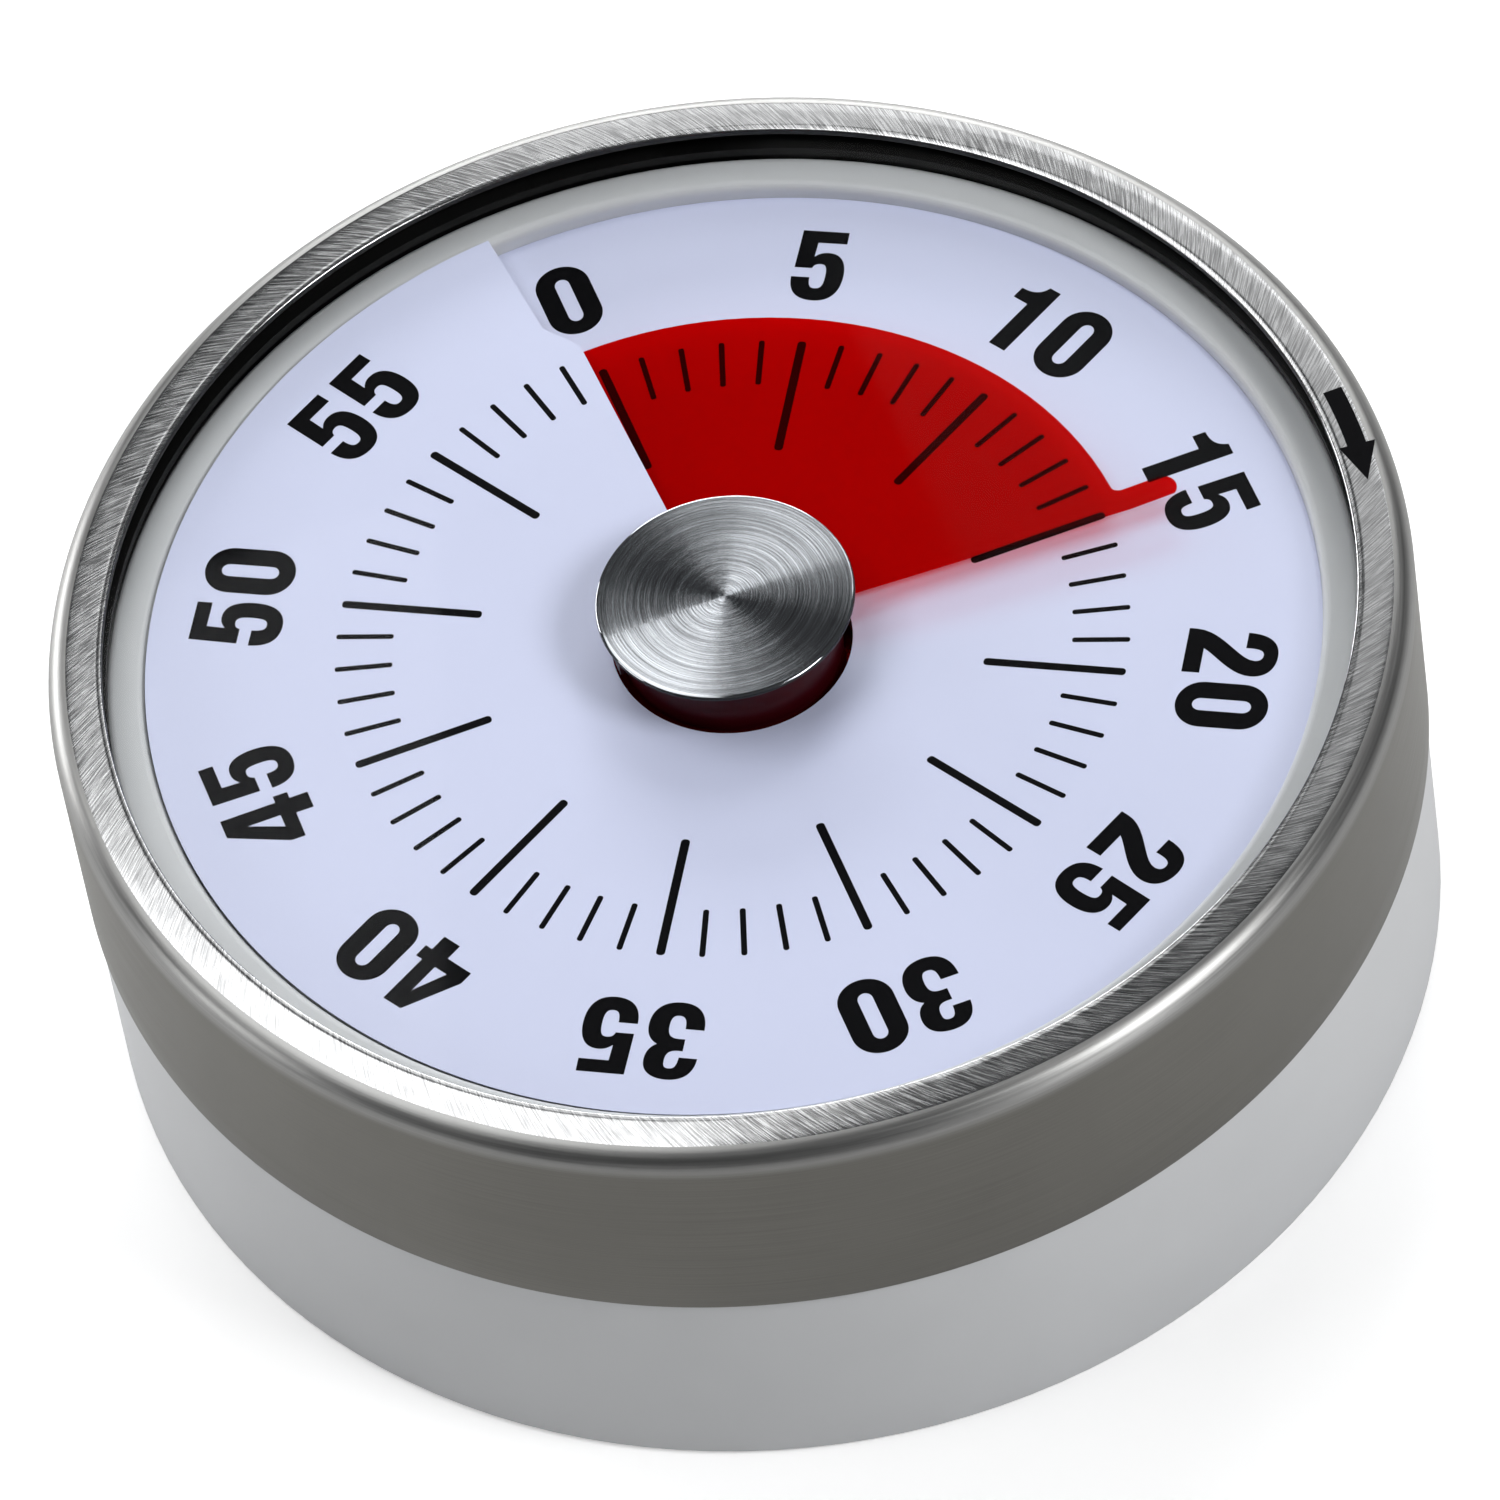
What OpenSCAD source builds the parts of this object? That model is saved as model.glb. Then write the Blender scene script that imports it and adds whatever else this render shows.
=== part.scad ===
// Wind-up kitchen timer. Turning the steel ring winds a spring movement and turns a red leaf,
// which comes out of a slit in the dial and sinks back under it as the time runs down.
// Millimetres, +Z up, origin at the centre of the underside, 0 minutes towards +Y.

/* [Housing] */
// Outer diameter of the turning steel ring
case_d = 80; // [78:1:100]
// Height of the white foot below the ring
foot_h = 14.7; // [14.2:0.1:20]
// How far the foot stands back from the ring
foot_inset = 0.2; // [0.1:0.1:0.8]
// Wall of the white housing
wall = 1.7; // [1.4:0.1:2]
// Floor of the white housing
floor_t = 2; // [1.6:0.1:2.4]
// Rounding of the lower edge of the foot
foot_round = 0.5; // [0.3:0.1:1.6]
// Diameter of the holding magnets
magnet_d = 10; // [6:0.5:12]
// Thickness of the holding magnets
magnet_t = 1.8; // [1:0.1:2.2]
// Distance of the magnets from the middle
magnet_r = 24; // [18:0.5:26]
// Distance of the housing screws from the middle
case_screw_r = 33; // [32:0.1:33.4]
// Shank diameter of the housing screws
case_screw_d = 2.4; // [2:0.1:3]

/* [Turning ring] */
// Height of the steel ring
ring_h = 14; // [12:0.1:16]
// Sheet thickness of the steel ring
ring_t = 0.5; // [0.4:0.05:0.8]
// Width of the flat rim around the lens
lip_w = 3.3; // [2.8:0.1:4]
// Rounding of the upper edge of the ring
ring_round = 1.35; // [1:0.05:1.4]
// Gap between the ring and the foot
ring_gap = 0.2; // [0.15:0.05:0.5]
// Wall of the black liner in the ring
liner_t = 1.3; // [1:0.1:1.8]
// Thickness of the liner ledge that carries the lens
ledge_t = 0.6; // [0.5:0.05:1]
// Thickness of the lens
lens_t = 1.2; // [1:0.1:1.6]
// Running clearance between turning and fixed walls
run_gap = 0.3; // [0.2:0.05:0.5]

/* [Dial] */
// Thickness of the dial and of the red leaf
film_t = 0.05; // [0.03:0.01:0.06]
// Least space between the leaf and the dial
film_gap = 0.02; // [0.015:0.005:0.03]
// Air between the highest point of the dial and the lens
lens_air = 0.45; // [0.35:0.05:0.8]
// Width of the white ring around the dial
border_w = 2.4; // [1.8:0.1:3]
// How far the white ring reaches under the ledge of the liner
border_tuck = 0.2; // [0:0.05:0.4]
// Width of the sloping seat under the dial edge
seat_w = 5.6; // [4:0.1:6]
// Least thickness of the sloping seat
seat_t = 0.6; // [0.5:0.1:1]
// Thickness of the deck that carries dial and movement
deck_t = 1.8; // [1.6:0.1:2.4]
// Angle of the slit before 0 minutes
slit_angle = 1.75; // [1:0.25:3]
// Angle of the slit before 0 minutes where it passes beside the number
jog_angle = 5; // [4:0.5:6]
// Longest setting in minutes
max_minutes = 55; // [30:5:55]
// Setting at rest in minutes
rest_minutes = 15; // [0:5:30]

/* [Red leaf and knob] */
// Radius of the red leaf
leaf_r = 24.1; // [20:0.1:25]
// Radius that the tip of the pointer finger reaches
finger_r = 27.7; // [26:0.1:28]
// Width of the pointer finger
finger_w = 1.7; // [1.2:0.1:2.4]
// Fillet between the pointer finger and the rim of the leaf
finger_fillet = 0.5; // [0.3:0.1:1.2]
// Angle by which the leading edge of the leaf passes the set minute
lead_angle = 2.75; // [1.5:0.25:4]
// Diameter of the red hub
hub_d = 12.9; // [11:0.1:14]
// Diameter of the steel knob cap
cap_d = 15.2; // [14.8:0.1:18]
// Thickness of the knob cap
cap_t = 0.6; // [0.5:0.1:1]
// Height of the knob cap above the rim
cap_over = 1.1; // [1:0.1:2]
// Diameter of the winding arbor
arbor_d = 4; // [3.6:0.1:4.4]

/* [Movement] */
// Thickness of the two movement plates
plate_t = 1; // [0.8:0.1:1.2]
// Radius of the movement plates
plate_r = 23; // [22.5:0.1:23.5]
// Distance of the plate ears from the middle
ear_r = 30; // [29:0.1:30.6]
// Diameter of the plate pillars
pillar_d = 3; // [2.4:0.1:3.2]
// Distance of the pillars from the middle
pillar_r = 21; // [20.6:0.1:21.2]
// Thickness of the great wheel
great_t = 1; // [0.8:0.1:1.2]
// Thickness of the lighter wheels
wheel_t = 0.6; // [0.5:0.05:0.7]
// Module of the great wheel pair
great_module = 0.5; // [0.48:0.01:0.51]
// Module of the second wheel pair
second_module = 0.4; // [0.38:0.01:0.41]
// Module of the third wheel pair
third_module = 0.35; // [0.33:0.01:0.36]
// Teeth of the great wheel
great_teeth = 48; // [46:1:49]
// Teeth of the second wheel
second_teeth = 48; // [46:1:49]
// Teeth of the third wheel
third_teeth = 45; // [43:1:46]
// Leaves of each pinion
pinion_leaves = 10; // [10:1:11]
// Teeth of the escape wheel
escape_teeth = 20; // [15:1:24]
// Diameter of the escape wheel
escape_d = 10; // [9:0.1:10.4]
// Diameter of the wheel arbors
wheel_arbor_d = 1.6; // [1.4:0.1:1.8]
// Diameter of the pivots in the plates
pivot_d = 1; // [0.8:0.05:1.2]
// Radial clearance of pivots in their holes
pivot_gap = 0.05; // [0.02:0.01:0.08]
// Turns of the mainspring
spring_turns = 7; // [5:1:9]
// Thickness of the mainspring
spring_t = 0.35; // [0.2:0.05:0.45]
// Outer radius of the mainspring
spring_r = 11; // [9:0.1:11.2]

/* [Bell] */
// Outer diameter of the bell
bell_d = 54; // [53.6:0.2:56]
// Wall of the bell
bell_t = 0.8; // [0.6:0.1:0.9]
// Height of the bell
bell_h = 13; // [11:0.1:13.4]
// Rounding between bell floor and wall
bell_round = 3; // [2:0.2:4]
// Height of the post under the bell
bell_post_h = 2; // [1.8:0.1:2.4]
// Diameter of the hammer head
hammer_d = 3.2; // [2.6:0.1:3.6]
// Gap between the resting hammer head and the bell
strike_gap = 0.4; // [0.3:0.05:0.8]

/* [Hidden] */
$fn = 96;
// Small sizes that several pieces share: a snug fit, a screw's free hole, a visible gap, the space
// past a screw's tip, how deep a boss runs into its wall, and how far a cutting shape stands out
fit = 0.02;
hole_gap = 0.1;
edge_gap = 0.2;
tip_gap = 0.2;
root = 0.5;
overcut = 1;

// Radii of the turning ring and of what runs inside it
ring_r = case_d / 2;
ring_in = ring_r - ring_t;
lip_r = ring_r - lip_w;
liner_in = ring_in - liner_t;
neck_r = liner_in - run_gap;
neck_in = neck_r - wall;
foot_r = ring_r - foot_inset;
foot_in = foot_r - wall;
ledge_r = lip_r;
border_r = ledge_r + border_tuck;
border_in = border_r - border_w;
dial_r = border_in - edge_gap;
seat_in = dial_r - seat_w;
hub_r = hub_d / 2;
dial_hole_r = hub_r + 2 * run_gap;
deck_hole_r = dial_hole_r + edge_gap;
cap_r = cap_d / 2;
arbor_r = arbor_d / 2;

// Heights, from the foot upwards
ring_z0 = foot_h + ring_gap;
ring_z1 = ring_z0 + ring_h;
lens_z1 = ring_z1 - ring_t;
lens_z0 = lens_z1 - lens_t;
ledge_z0 = lens_z0 - ledge_t;
border_z1 = ledge_z0 - run_gap;
// The dial climbs just enough in one turn for the leaf to pass over and under it at every setting
max_angle = 6 * max_minutes;
dial_rise = 2 * (film_t + film_gap) * 360 / (360 - max_angle);
dial_high = lens_z0 - lens_air;
dial_low = dial_high - dial_rise;
deck_z1 = dial_low - film_t / 2 - seat_t;
deck_z0 = deck_z1 - deck_t;
cap_z1 = ring_z1 + cap_over;
cap_z0 = cap_z1 - cap_t;
liner_lift = 0.5;
liner_z0 = ring_z0 + liner_lift;

// The leaf hangs at the same slope as the dial, so it passes through the slit without touching
rest_angle = 6 * rest_minutes;
lead_max = max_angle + lead_angle + slit_angle;
lead_min = lead_angle + slit_angle;
leaf_level = (dial_rise * (lead_max + lead_min + 360) / 360) / 2;
leaf_high = dial_low + leaf_level;
leaf_tail = 4;
leaf_sweep = lead_max + leaf_tail;
slit_half = 0.3;
jog_gap = 0.2;
jog_w = 2.2;
jog_r = leaf_r + jog_gap;
glue_t = 0.03;
film_step = 3;
finger_step = 0.4;
finger_edge = 0.05;

// Movement heights
plate_boss_h = 1.6;
front_z1 = deck_z0 - plate_boss_h;
front_z0 = front_z1 - plate_t;
bell_z0 = floor_t + bell_post_h;
bell_head_h = 1.4;
bell_air = 0.7;
back_z0 = bell_z0 + bell_t + bell_head_h + bell_air;
back_z1 = back_z0 + plate_t;
end_play = 0.15;
great_air = 0.4;
great_z1 = front_z0 - great_air;
great_z0 = great_z1 - great_t;
collar_t = 0.5;
washer_t = 0.5;
spring_air = 0.3;
spring_z1 = great_z0 - washer_t - collar_t - spring_air;
third_lift = 0.8;
third_z0 = back_z1 + third_lift;
cam_lift = 1.2;
cam_z0 = back_z1 + cam_lift;
second_lift = 2.6;
second_z0 = back_z1 + second_lift;
spring_lift = 0.9;
spring_z0 = second_z0 + wheel_t + spring_lift;
escape_lift = 1.3;
escape_z0 = second_z0 + wheel_t + escape_lift;
verge_lift = 0.3;
verge_z0 = escape_z0 + wheel_t + verge_lift;
verge_t = 0.7;
balance_lift = 0.4;
balance_z0 = verge_z0 + verge_t + balance_lift;
balance_t = 0.9;
pinion_margin = 0.4;

// Involute teeth, cut a little thin so that they run free
pressure_angle = 25;
addendum = 0.8;
dedendum = 1.05;
tooth_play = 0.04;
root_step = 0.05;

// Places of the arbors, seen from above
function polar(r, a) = [r * cos(a), r * sin(a)];
function centres(module_size, teeth) = module_size * (teeth + pinion_leaves) / 2;
second_dir = 90;
third_dir = -18.6;
escape_dir = -50;
second_at = polar(centres(great_module, great_teeth), second_dir);
third_at = second_at + polar(centres(second_module, second_teeth), third_dir);
escape_at = third_at + polar(centres(third_module, third_teeth), escape_dir);
verge_reach = 7.5;
verge_dir = -80;
verge_at = escape_at + polar(verge_reach, verge_dir);
hammer_r = 18;
hammer_dir = 213.7;
hammer_at = polar(hammer_r, hammer_dir);
pillar_angles = [150, 200, 265, 325];
ear_angles = [90, 210, 330];
column_angles = [30, 150, 270];
magnet_angles = [90, 210, 330];

bell_in = bell_d / 2 - bell_t;
strike_dir = 240;
hammer_head_at = polar(bell_in - strike_gap - hammer_d / 2, strike_dir);
hammer_z0 = cam_z0;
cam_r = 4;
wheel_arbor_r = wheel_arbor_d / 2;
pivot_r = pivot_d / 2;
column_r = 2.6;
column_step = 0.4;
column_drop = 4.4;
column_z1 = deck_z0 - column_drop;
case_head_r = 2.3;
case_head_h = 1.6;
case_head_z0 = 0.8;
magnet_sink = 0.2;
magnet_wall = 1.2;
magnet_cover = 1;
plate_screw_d = 2;
plate_head_r = 1.9;
plate_head_h = 1.1;
ear_w = 5;
ear_boss_r = 2.4;
ear_root = 4;
bush_w = 1.2;
tenon_r = 0.9;
pillar_screw_r = 0.68;
pillar_screw_l = 3.6;
bell_post_r = 4;
bell_screw_r = 1.25;
bell_screw_l = 2.4;
bell_hole_r = 1.6;
pivot_step = 0.8;
back_pivot_r = arbor_r - pivot_step;
collet_r = 1.5;
arm_w = 1;
wheel_holes = 5;

// Helpers

// Points of an arc from angle a to angle b
function arc(c, r, a, b, n = 8) = [for (i = [0:n]) c + polar(r, a + (b - a) * i / n)];

module tube(r_out, r_in, z0, z1) {
    translate([0, 0, z0])
        difference() {
            cylinder(r = r_out, h = z1 - z0);
            translate([0, 0, -overcut])
                cylinder(r = r_in, h = z1 - z0 + 2 * overcut);
        }
}

module rod(r, z0, z1, at = [0, 0]) {
    translate([at.x, at.y, z0])
        cylinder(r = r, h = z1 - z0);
}

// A flat bar with round ends between two points
module bar(p, q, w, z0, h) {
    d = q - p;
    rod(w / 2, z0, z0 + h, p);
    rod(w / 2, z0, z0 + h, q);
    translate([p.x, p.y, z0])
        rotate([0, 0, atan2(d.y, d.x)])
            translate([0, -w / 2, 0])
                cube([norm(d), w, h]);
}

module around(angles, r) {
    for (a = angles)
        rotate([0, 0, a])
            translate([r, 0, 0])
                children();
}

// A screw with its head down, with a cross recess; z0 is the face of the head
module screw(head_r, head_h, shank_r, z0, z1) {
    recess_w = head_r * 0.3;
    recess_l = head_r * 1.2;
    recess_h = head_h * 0.45;
    difference() {
        rod(head_r, z0, z0 + head_h);
        for (a = [0, 90])
            rotate([0, 0, a])
                translate([-recess_l / 2, -recess_w / 2, z0 - overcut])
                    cube([recess_l, recess_w, overcut + recess_h]);
    }
    rod(shank_r, z0 + head_h, z1);
}

// A film or seat that follows a slope round the axis. Each row is a list of stations from the inside
// out, and each station holds an angle clockwise from +Y, a radius, a lower height and an upper height.
module slope_sheet(rows) {
    n = len(rows);
    m = len(rows[0]);
    ring = 2 * m;
    function place(station, z) = [station[1] * sin(station[0]), station[1] * cos(station[0]), z];
    points = [
        for (row = rows)
            each concat(
                [for (k = [0:m - 1]) place(row[k], row[k][2])],
                [for (k = [m - 1:-1:0]) place(row[k], row[k][3])]
            )
    ];
    walls = [
        for (i = [0:n - 2])
            for (k = [0:ring - 1])
                let (a = ring * i + k, b = ring * i + (k + 1) % ring)
                    each [[a, b + ring, b], [a, a + ring, b + ring]]
    ];
    last = ring * (n - 1);
    ends = [
        for (k = [0:m - 2])
            let (low = k, next = k + 1, high = ring - 2 - k, top = ring - 1 - k)
                each [
                    [low, next, high], [low, high, top],
                    [last + low, last + high, last + next], [last + low, last + top, last + high]
                ]
    ];
    polyhedron(points, concat(walls, ends), convexity = 6);
}

function dial_height(turn) = dial_low + dial_rise * turn / 360;

// Outline of a gear with involute flanks
function involute(a) = tan(a) * 180 / PI - a;
function flank_angle(r, base_r, teeth) =
    90 / teeth + involute(pressure_angle) - involute(acos(min(1, base_r / r)));
function tooth_outline(teeth, size, middle) =
    let (
        pitch_r = size * teeth / 2,
        base_r = pitch_r * cos(pressure_angle),
        root_r = pitch_r - dedendum * size,
        tip_r = pitch_r + addendum * size,
        start_r = max(base_r, root_r + root_step),
        thin = tooth_play / pitch_r * 90 / PI,
        radii = [start_r, (start_r + tip_r) / 2, tip_r],
        half = [for (r = radii) flank_angle(r, base_r, teeth) - thin]
    )
    concat(
        [polar(root_r, middle - half[0])],
        [for (i = [0:2]) polar(radii[i], middle - half[i])],
        [for (i = [2:-1:0]) polar(radii[i], middle + half[i])],
        [polar(root_r, middle + half[0])]
    );
function gear_outline(teeth, size) =
    [for (i = [0:teeth - 1]) each tooth_outline(teeth, size, 360 * i / teeth)];

// Turn of a pinion that meshes with a wheel lying in direction dir from it to the pinion
function mesh_turn(wheel_turn, teeth, dir) =
    dir + 180 + 180 / pinion_leaves - (wheel_turn - dir) * teeth / pinion_leaves;

module toothed_wheel(at, turn, teeth, size, z0, t, bore_r, holes) {
    pitch_r = size * teeth / 2;
    hole_ring = (pitch_r - dedendum * size + bore_r) / 2;
    hole_r = (pitch_r - dedendum * size - bore_r) * 0.3;
    translate([at.x, at.y, z0])
        rotate([0, 0, turn])
            difference() {
                linear_extrude(height = t)
                    polygon(gear_outline(teeth, size));
                translate([0, 0, -overcut])
                    cylinder(r = bore_r, h = t + 2 * overcut);
                around([for (i = [1:holes]) 360 * i / holes], hole_ring)
                    translate([0, 0, -overcut])
                        cylinder(r = hole_r, h = t + 2 * overcut);
            }
}

// An arbor between the plates, with a pivot at each end and a pinion cut on it
module pinion_arbor(at, turn, size, z0, z1) {
    rod(pivot_r, back_z0, back_z1 + end_play, at);
    rod(wheel_arbor_r, back_z1 + end_play, front_z0 - end_play, at);
    rod(pivot_r, front_z0 - end_play, front_z1, at);
    translate([at.x, at.y, z0])
        rotate([0, 0, turn])
            linear_extrude(height = z1 - z0)
                polygon(gear_outline(pinion_leaves, size));
}

module plain_arbor(at) {
    rod(pivot_r, back_z0, back_z1 + end_play, at);
    rod(wheel_arbor_r, back_z1 + end_play, front_z0 - end_play, at);
    rod(pivot_r, front_z0 - end_play, front_z1, at);
}

module pivot_holes(z0, z1) {
    for (at = [second_at, third_at, escape_at, verge_at, hammer_at])
        rod(pivot_r + pivot_gap, z0 - overcut, z1 + overcut, at);
}

// Housing and dial

module base_housing() {
    outline = concat(
        [[0, 0]],
        arc([foot_r - foot_round, foot_round], foot_round, -90, 0),
        [
            [foot_r, foot_h], [neck_r, foot_h], [neck_r, deck_z0], [neck_in, deck_z0],
            [neck_in, foot_h - wall], [foot_in, foot_h - wall - foot_in + neck_in],
            [foot_in, floor_t], [0, floor_t]
        ]
    );
    boss_h = magnet_sink + magnet_t + magnet_cover;
    color("whitesmoke")
        difference() {
            union() {
                rotate_extrude()
                    polygon(outline);
                around(column_angles, case_screw_r)
                    rod(column_r, floor_t - root, column_z1 - edge_gap);
                around(magnet_angles, magnet_r)
                    rod(magnet_d / 2 + magnet_wall, floor_t - root, boss_h);
                rod(bell_post_r, floor_t - root, bell_z0);
            }
            around(column_angles, case_screw_r) {
                rod(case_head_r + edge_gap, -overcut, case_head_z0 + case_head_h);
                rod(case_screw_d / 2 + hole_gap, 0, deck_z0);
            }
            around(magnet_angles, magnet_r)
                rod(magnet_d / 2 + fit, -overcut, magnet_sink + magnet_t);
            rod(bell_screw_r + fit, bell_z0 - bell_screw_l - tip_gap, bell_z0 + overcut);
        }
}

module magnets() {
    color("dimgray")
        around(magnet_angles, magnet_r)
            rod(magnet_d / 2, magnet_sink, magnet_sink + magnet_t);
}

module housing_screws() {
    color("silver")
        around(column_angles, case_screw_r)
            screw(case_head_r, case_head_h, case_screw_d / 2, case_head_z0, deck_z0 - tip_gap);
}

module dial_deck() {
    edge = 0.5;
    spigot_h = 1.4;
    spigot_r = neck_in - hole_gap;
    spigot_t = 1.1;
    spigot_in = spigot_r - spigot_t;
    outline = concat(
        [
            [deck_hole_r, deck_z0], [spigot_in, deck_z0], [spigot_in, deck_z0 - spigot_h],
            [spigot_r, deck_z0 - spigot_h], [spigot_r, deck_z0],
            [neck_r, deck_z0], [neck_r, deck_z1], [border_r, deck_z1]
        ],
        arc([border_r - edge, border_z1 - edge], edge, 0, 90, 5),
        arc([border_in + edge, border_z1 - edge], edge, 90, 180, 5),
        [[border_in, deck_z1], [deck_hole_r, deck_z1]]
    );
    color("white")
        difference() {
            union() {
                rotate_extrude()
                    polygon(outline);
                around(column_angles, case_screw_r)
                    rod(column_r - column_step, column_z1, deck_z0 + root);
                around(ear_angles, ear_r)
                    rod(ear_boss_r, front_z1, deck_z0 + root);
            }
            around(column_angles, case_screw_r)
                rod(case_screw_d / 2 + fit, column_z1 - overcut, deck_z0);
            around(ear_angles, ear_r)
                rod(plate_screw_d / 2 + fit, front_z1 - overcut, deck_z0 + deck_t / 2);
        }
}

// Rows of a slope all round the dial, from just after the slit to just before it. Each station
// is a radius and the angle of the slit there.
function round_rows(stations, low, lift) = [
    for (i = [0:360 / film_step])
        let (turn = slit_half + (360 - 2 * slit_half) * i * film_step / 360)
            [
                for (s = stations)
                    let (a = turn - s[1], z = dial_height(a + slit_angle))
                        [a, s[0], low(z), z + lift]
            ]
];

module dial_seat() {
    color("white")
        slope_sheet(round_rows(
            [[seat_in, jog_angle], [dial_r, jog_angle]],
            function (z) deck_z1,
            -film_t / 2 - glue_t
        ));
}

module dial() {
    color("ghostwhite")
        slope_sheet(round_rows(
            [[dial_hole_r, slit_angle], [jog_r, slit_angle], [jog_r + jog_w, jog_angle], [dial_r, jog_angle]],
            function (z) z - film_t / 2,
            film_t / 2
        ));
}

// Turning ring, lens and knob

module steel_ring() {
    inner_round = ring_round - ring_t;
    outline = concat(
        [[ring_in, ring_z0], [ring_r, ring_z0]],
        arc([ring_r - ring_round, ring_z1 - ring_round], ring_round, 0, 90),
        [[lip_r, ring_z1], [lip_r, ring_z1 - ring_t]],
        arc([ring_r - ring_round, ring_z1 - ring_round], inner_round, 90, 0)
    );
    color("lightsteelblue")
        rotate_extrude($fn = 180)
            polygon(outline);
}

module ring_liner() {
    top_r = ring_r - ring_round - fit;
    outline = [
        [liner_in, liner_z0], [ring_in - fit, liner_z0], [ring_in - fit, ring_z1 - ring_round - edge_gap],
        [top_r, lens_z1 - fit], [liner_in, lens_z1 - fit], [liner_in, lens_z0],
        [ledge_r, lens_z0], [ledge_r, ledge_z0], [liner_in, ledge_z0]
    ];
    color("black")
        rotate_extrude($fn = 180)
            polygon(outline);
}

key_w = 1.6;
key_reach = 0.6;
key_r = hub_r + key_reach;
lens_gap = 0.05;

module lens() {
    color("lightcyan", 0.3)
        difference() {
            rod(liner_in - lens_gap, lens_z0, lens_z1);
            rod(hub_r + fit, lens_z0 - overcut, lens_z1 + overcut);
            translate([-key_r - fit, -key_w / 2 - fit, lens_z0 - overcut])
                cube([2 * key_r + 2 * fit, key_w + 2 * fit, lens_t + 2 * overcut]);
        }
}

hub_floor_t = 3.2;
hub_z0 = deck_z0 + edge_gap;
well_z0 = hub_z0 + hub_floor_t;
well_r = 2.9;
flat_depth = 0.4;
arbor_flat = arbor_r - flat_depth;
arbor_top = well_z0 - tip_gap;
hub_screw_r = 1;
hub_screw_l = 4;

// The arbor's upper end has two flats, which the hub fits
module arbor_end(gap, z0, z1) {
    intersection() {
        rod(arbor_r + gap, z0, z1);
        translate([-arbor_r - overcut, -arbor_flat - gap, z0])
            cube([2 * arbor_r + 2 * overcut, 2 * arbor_flat + 2 * gap, z1 - z0]);
    }
}

module red_hub() {
    color("firebrick")
        difference() {
            union() {
                rod(hub_r, hub_z0, cap_z0);
                translate([-key_r, -key_w / 2, lens_z0])
                    cube([2 * key_r, key_w, lens_t]);
            }
            arbor_end(fit, hub_z0 - overcut, arbor_top + fit);
            rod(hub_screw_r + hole_gap, hub_z0, well_z0 + overcut);
            rod(well_r, well_z0, cap_z0 + overcut);
        }
}

module knob_cap() {
    bevel = 0.12;
    spigot_h = 1.2;
    edge_t = 0.25;
    outline = [
        [0, cap_z0 - spigot_h], [well_r - fit, cap_z0 - spigot_h], [well_r - fit, cap_z0],
        [hub_r + fit, cap_z0], [cap_r, cap_z1 - edge_t], [cap_r, cap_z1 - bevel],
        [cap_r - bevel, cap_z1], [0, cap_z1]
    ];
    color("silver")
        rotate_extrude()
            polygon(outline);
}

module hub_screw() {
    head_h = 1.2;
    color("gray")
        mirror([0, 0, 1])
            screw(well_r - root, head_h, hub_screw_r, -well_z0 - head_h, -arbor_top + hub_screw_l);
}

// Outer radius of the leaf at an angle behind its leading edge, with the pointer finger in front
// and a fillet behind it
function leaf_outline(back) =
    let (
        half = finger_w / 2,
        across = abs((finger_r - half) * sin(min(back, 90)) - half),
        left = min(finger_fillet, max(0, finger_fillet + half - across))
    )
    across < half
        ? finger_r - half + sqrt(half * half - across * across)
        : leaf_r + finger_fillet - sqrt(finger_fillet * finger_fillet - left * left);

module red_leaf() {
    finger_sweep = asin(finger_w / (finger_r - finger_w / 2));
    fillet_sweep = asin((finger_w + finger_fillet) / (finger_r - finger_w / 2));
    backs = concat(
        [for (i = [0:floor(finger_sweep / finger_step)]) i * finger_step],
        [finger_sweep],
        [for (b = [finger_sweep + finger_edge:finger_step:fillet_sweep]) b],
        [for (b = [fillet_sweep:film_step:leaf_sweep]) b]
    );
    rows = [
        for (b = backs)
            let (z = leaf_high - dial_rise * b / 360)
                [
                    for (r = [hub_r + glue_t, leaf_outline(b)])
                        [rest_angle + lead_angle - b, r, z - film_t / 2, z + film_t / 2]
                ]
    ];
    color("red")
        slope_sheet([for (i = [len(rows) - 1:-1:0]) rows[i]]);
}

module winding_arbor() {
    collar_w = 1;
    collar_z1 = great_z0 - washer_t;
    color("lightgray")
        difference() {
            union() {
                rod(back_pivot_r, back_z0, back_z1 + end_play);
                rod(arbor_r, back_z1 + end_play, hub_z0);
                rod(arbor_r + collar_w, collar_z1 - collar_t, collar_z1);
                arbor_end(0, hub_z0, arbor_top);
            }
            rod(hub_screw_r + fit, arbor_top - hub_screw_l - tip_gap, arbor_top + overcut);
        }
}

// Movement

module front_plate() {
    color("goldenrod")
        difference() {
            union() {
                rod(plate_r, front_z0, front_z1);
                around(ear_angles, 0)
                    bar([plate_r - ear_root, 0], [ear_r, 0], ear_w, front_z0, plate_t);
            }
            rod(arbor_r + bush_w + fit, front_z0 - overcut, front_z1 + overcut);
            pivot_holes(front_z0, front_z1);
            around(pillar_angles, pillar_r)
                rod(tenon_r + fit, front_z0 - overcut, front_z1 + overcut);
            around(ear_angles, ear_r)
                rod(plate_screw_d / 2 + hole_gap, front_z0 - overcut, front_z1 + overcut);
        }
}

module back_plate() {
    color("goldenrod")
        difference() {
            rod(plate_r, back_z0, back_z1);
            rod(back_pivot_r + pivot_gap, back_z0 - overcut, back_z1 + overcut);
            pivot_holes(back_z0, back_z1);
            around(pillar_angles, pillar_r)
                rod(tenon_r + fit, back_z0 - overcut, back_z1 + overcut);
            rod(spring_tenon_r + fit, back_z0 - overcut, back_z1 + overcut, spring_post_at);
        }
}

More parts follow.
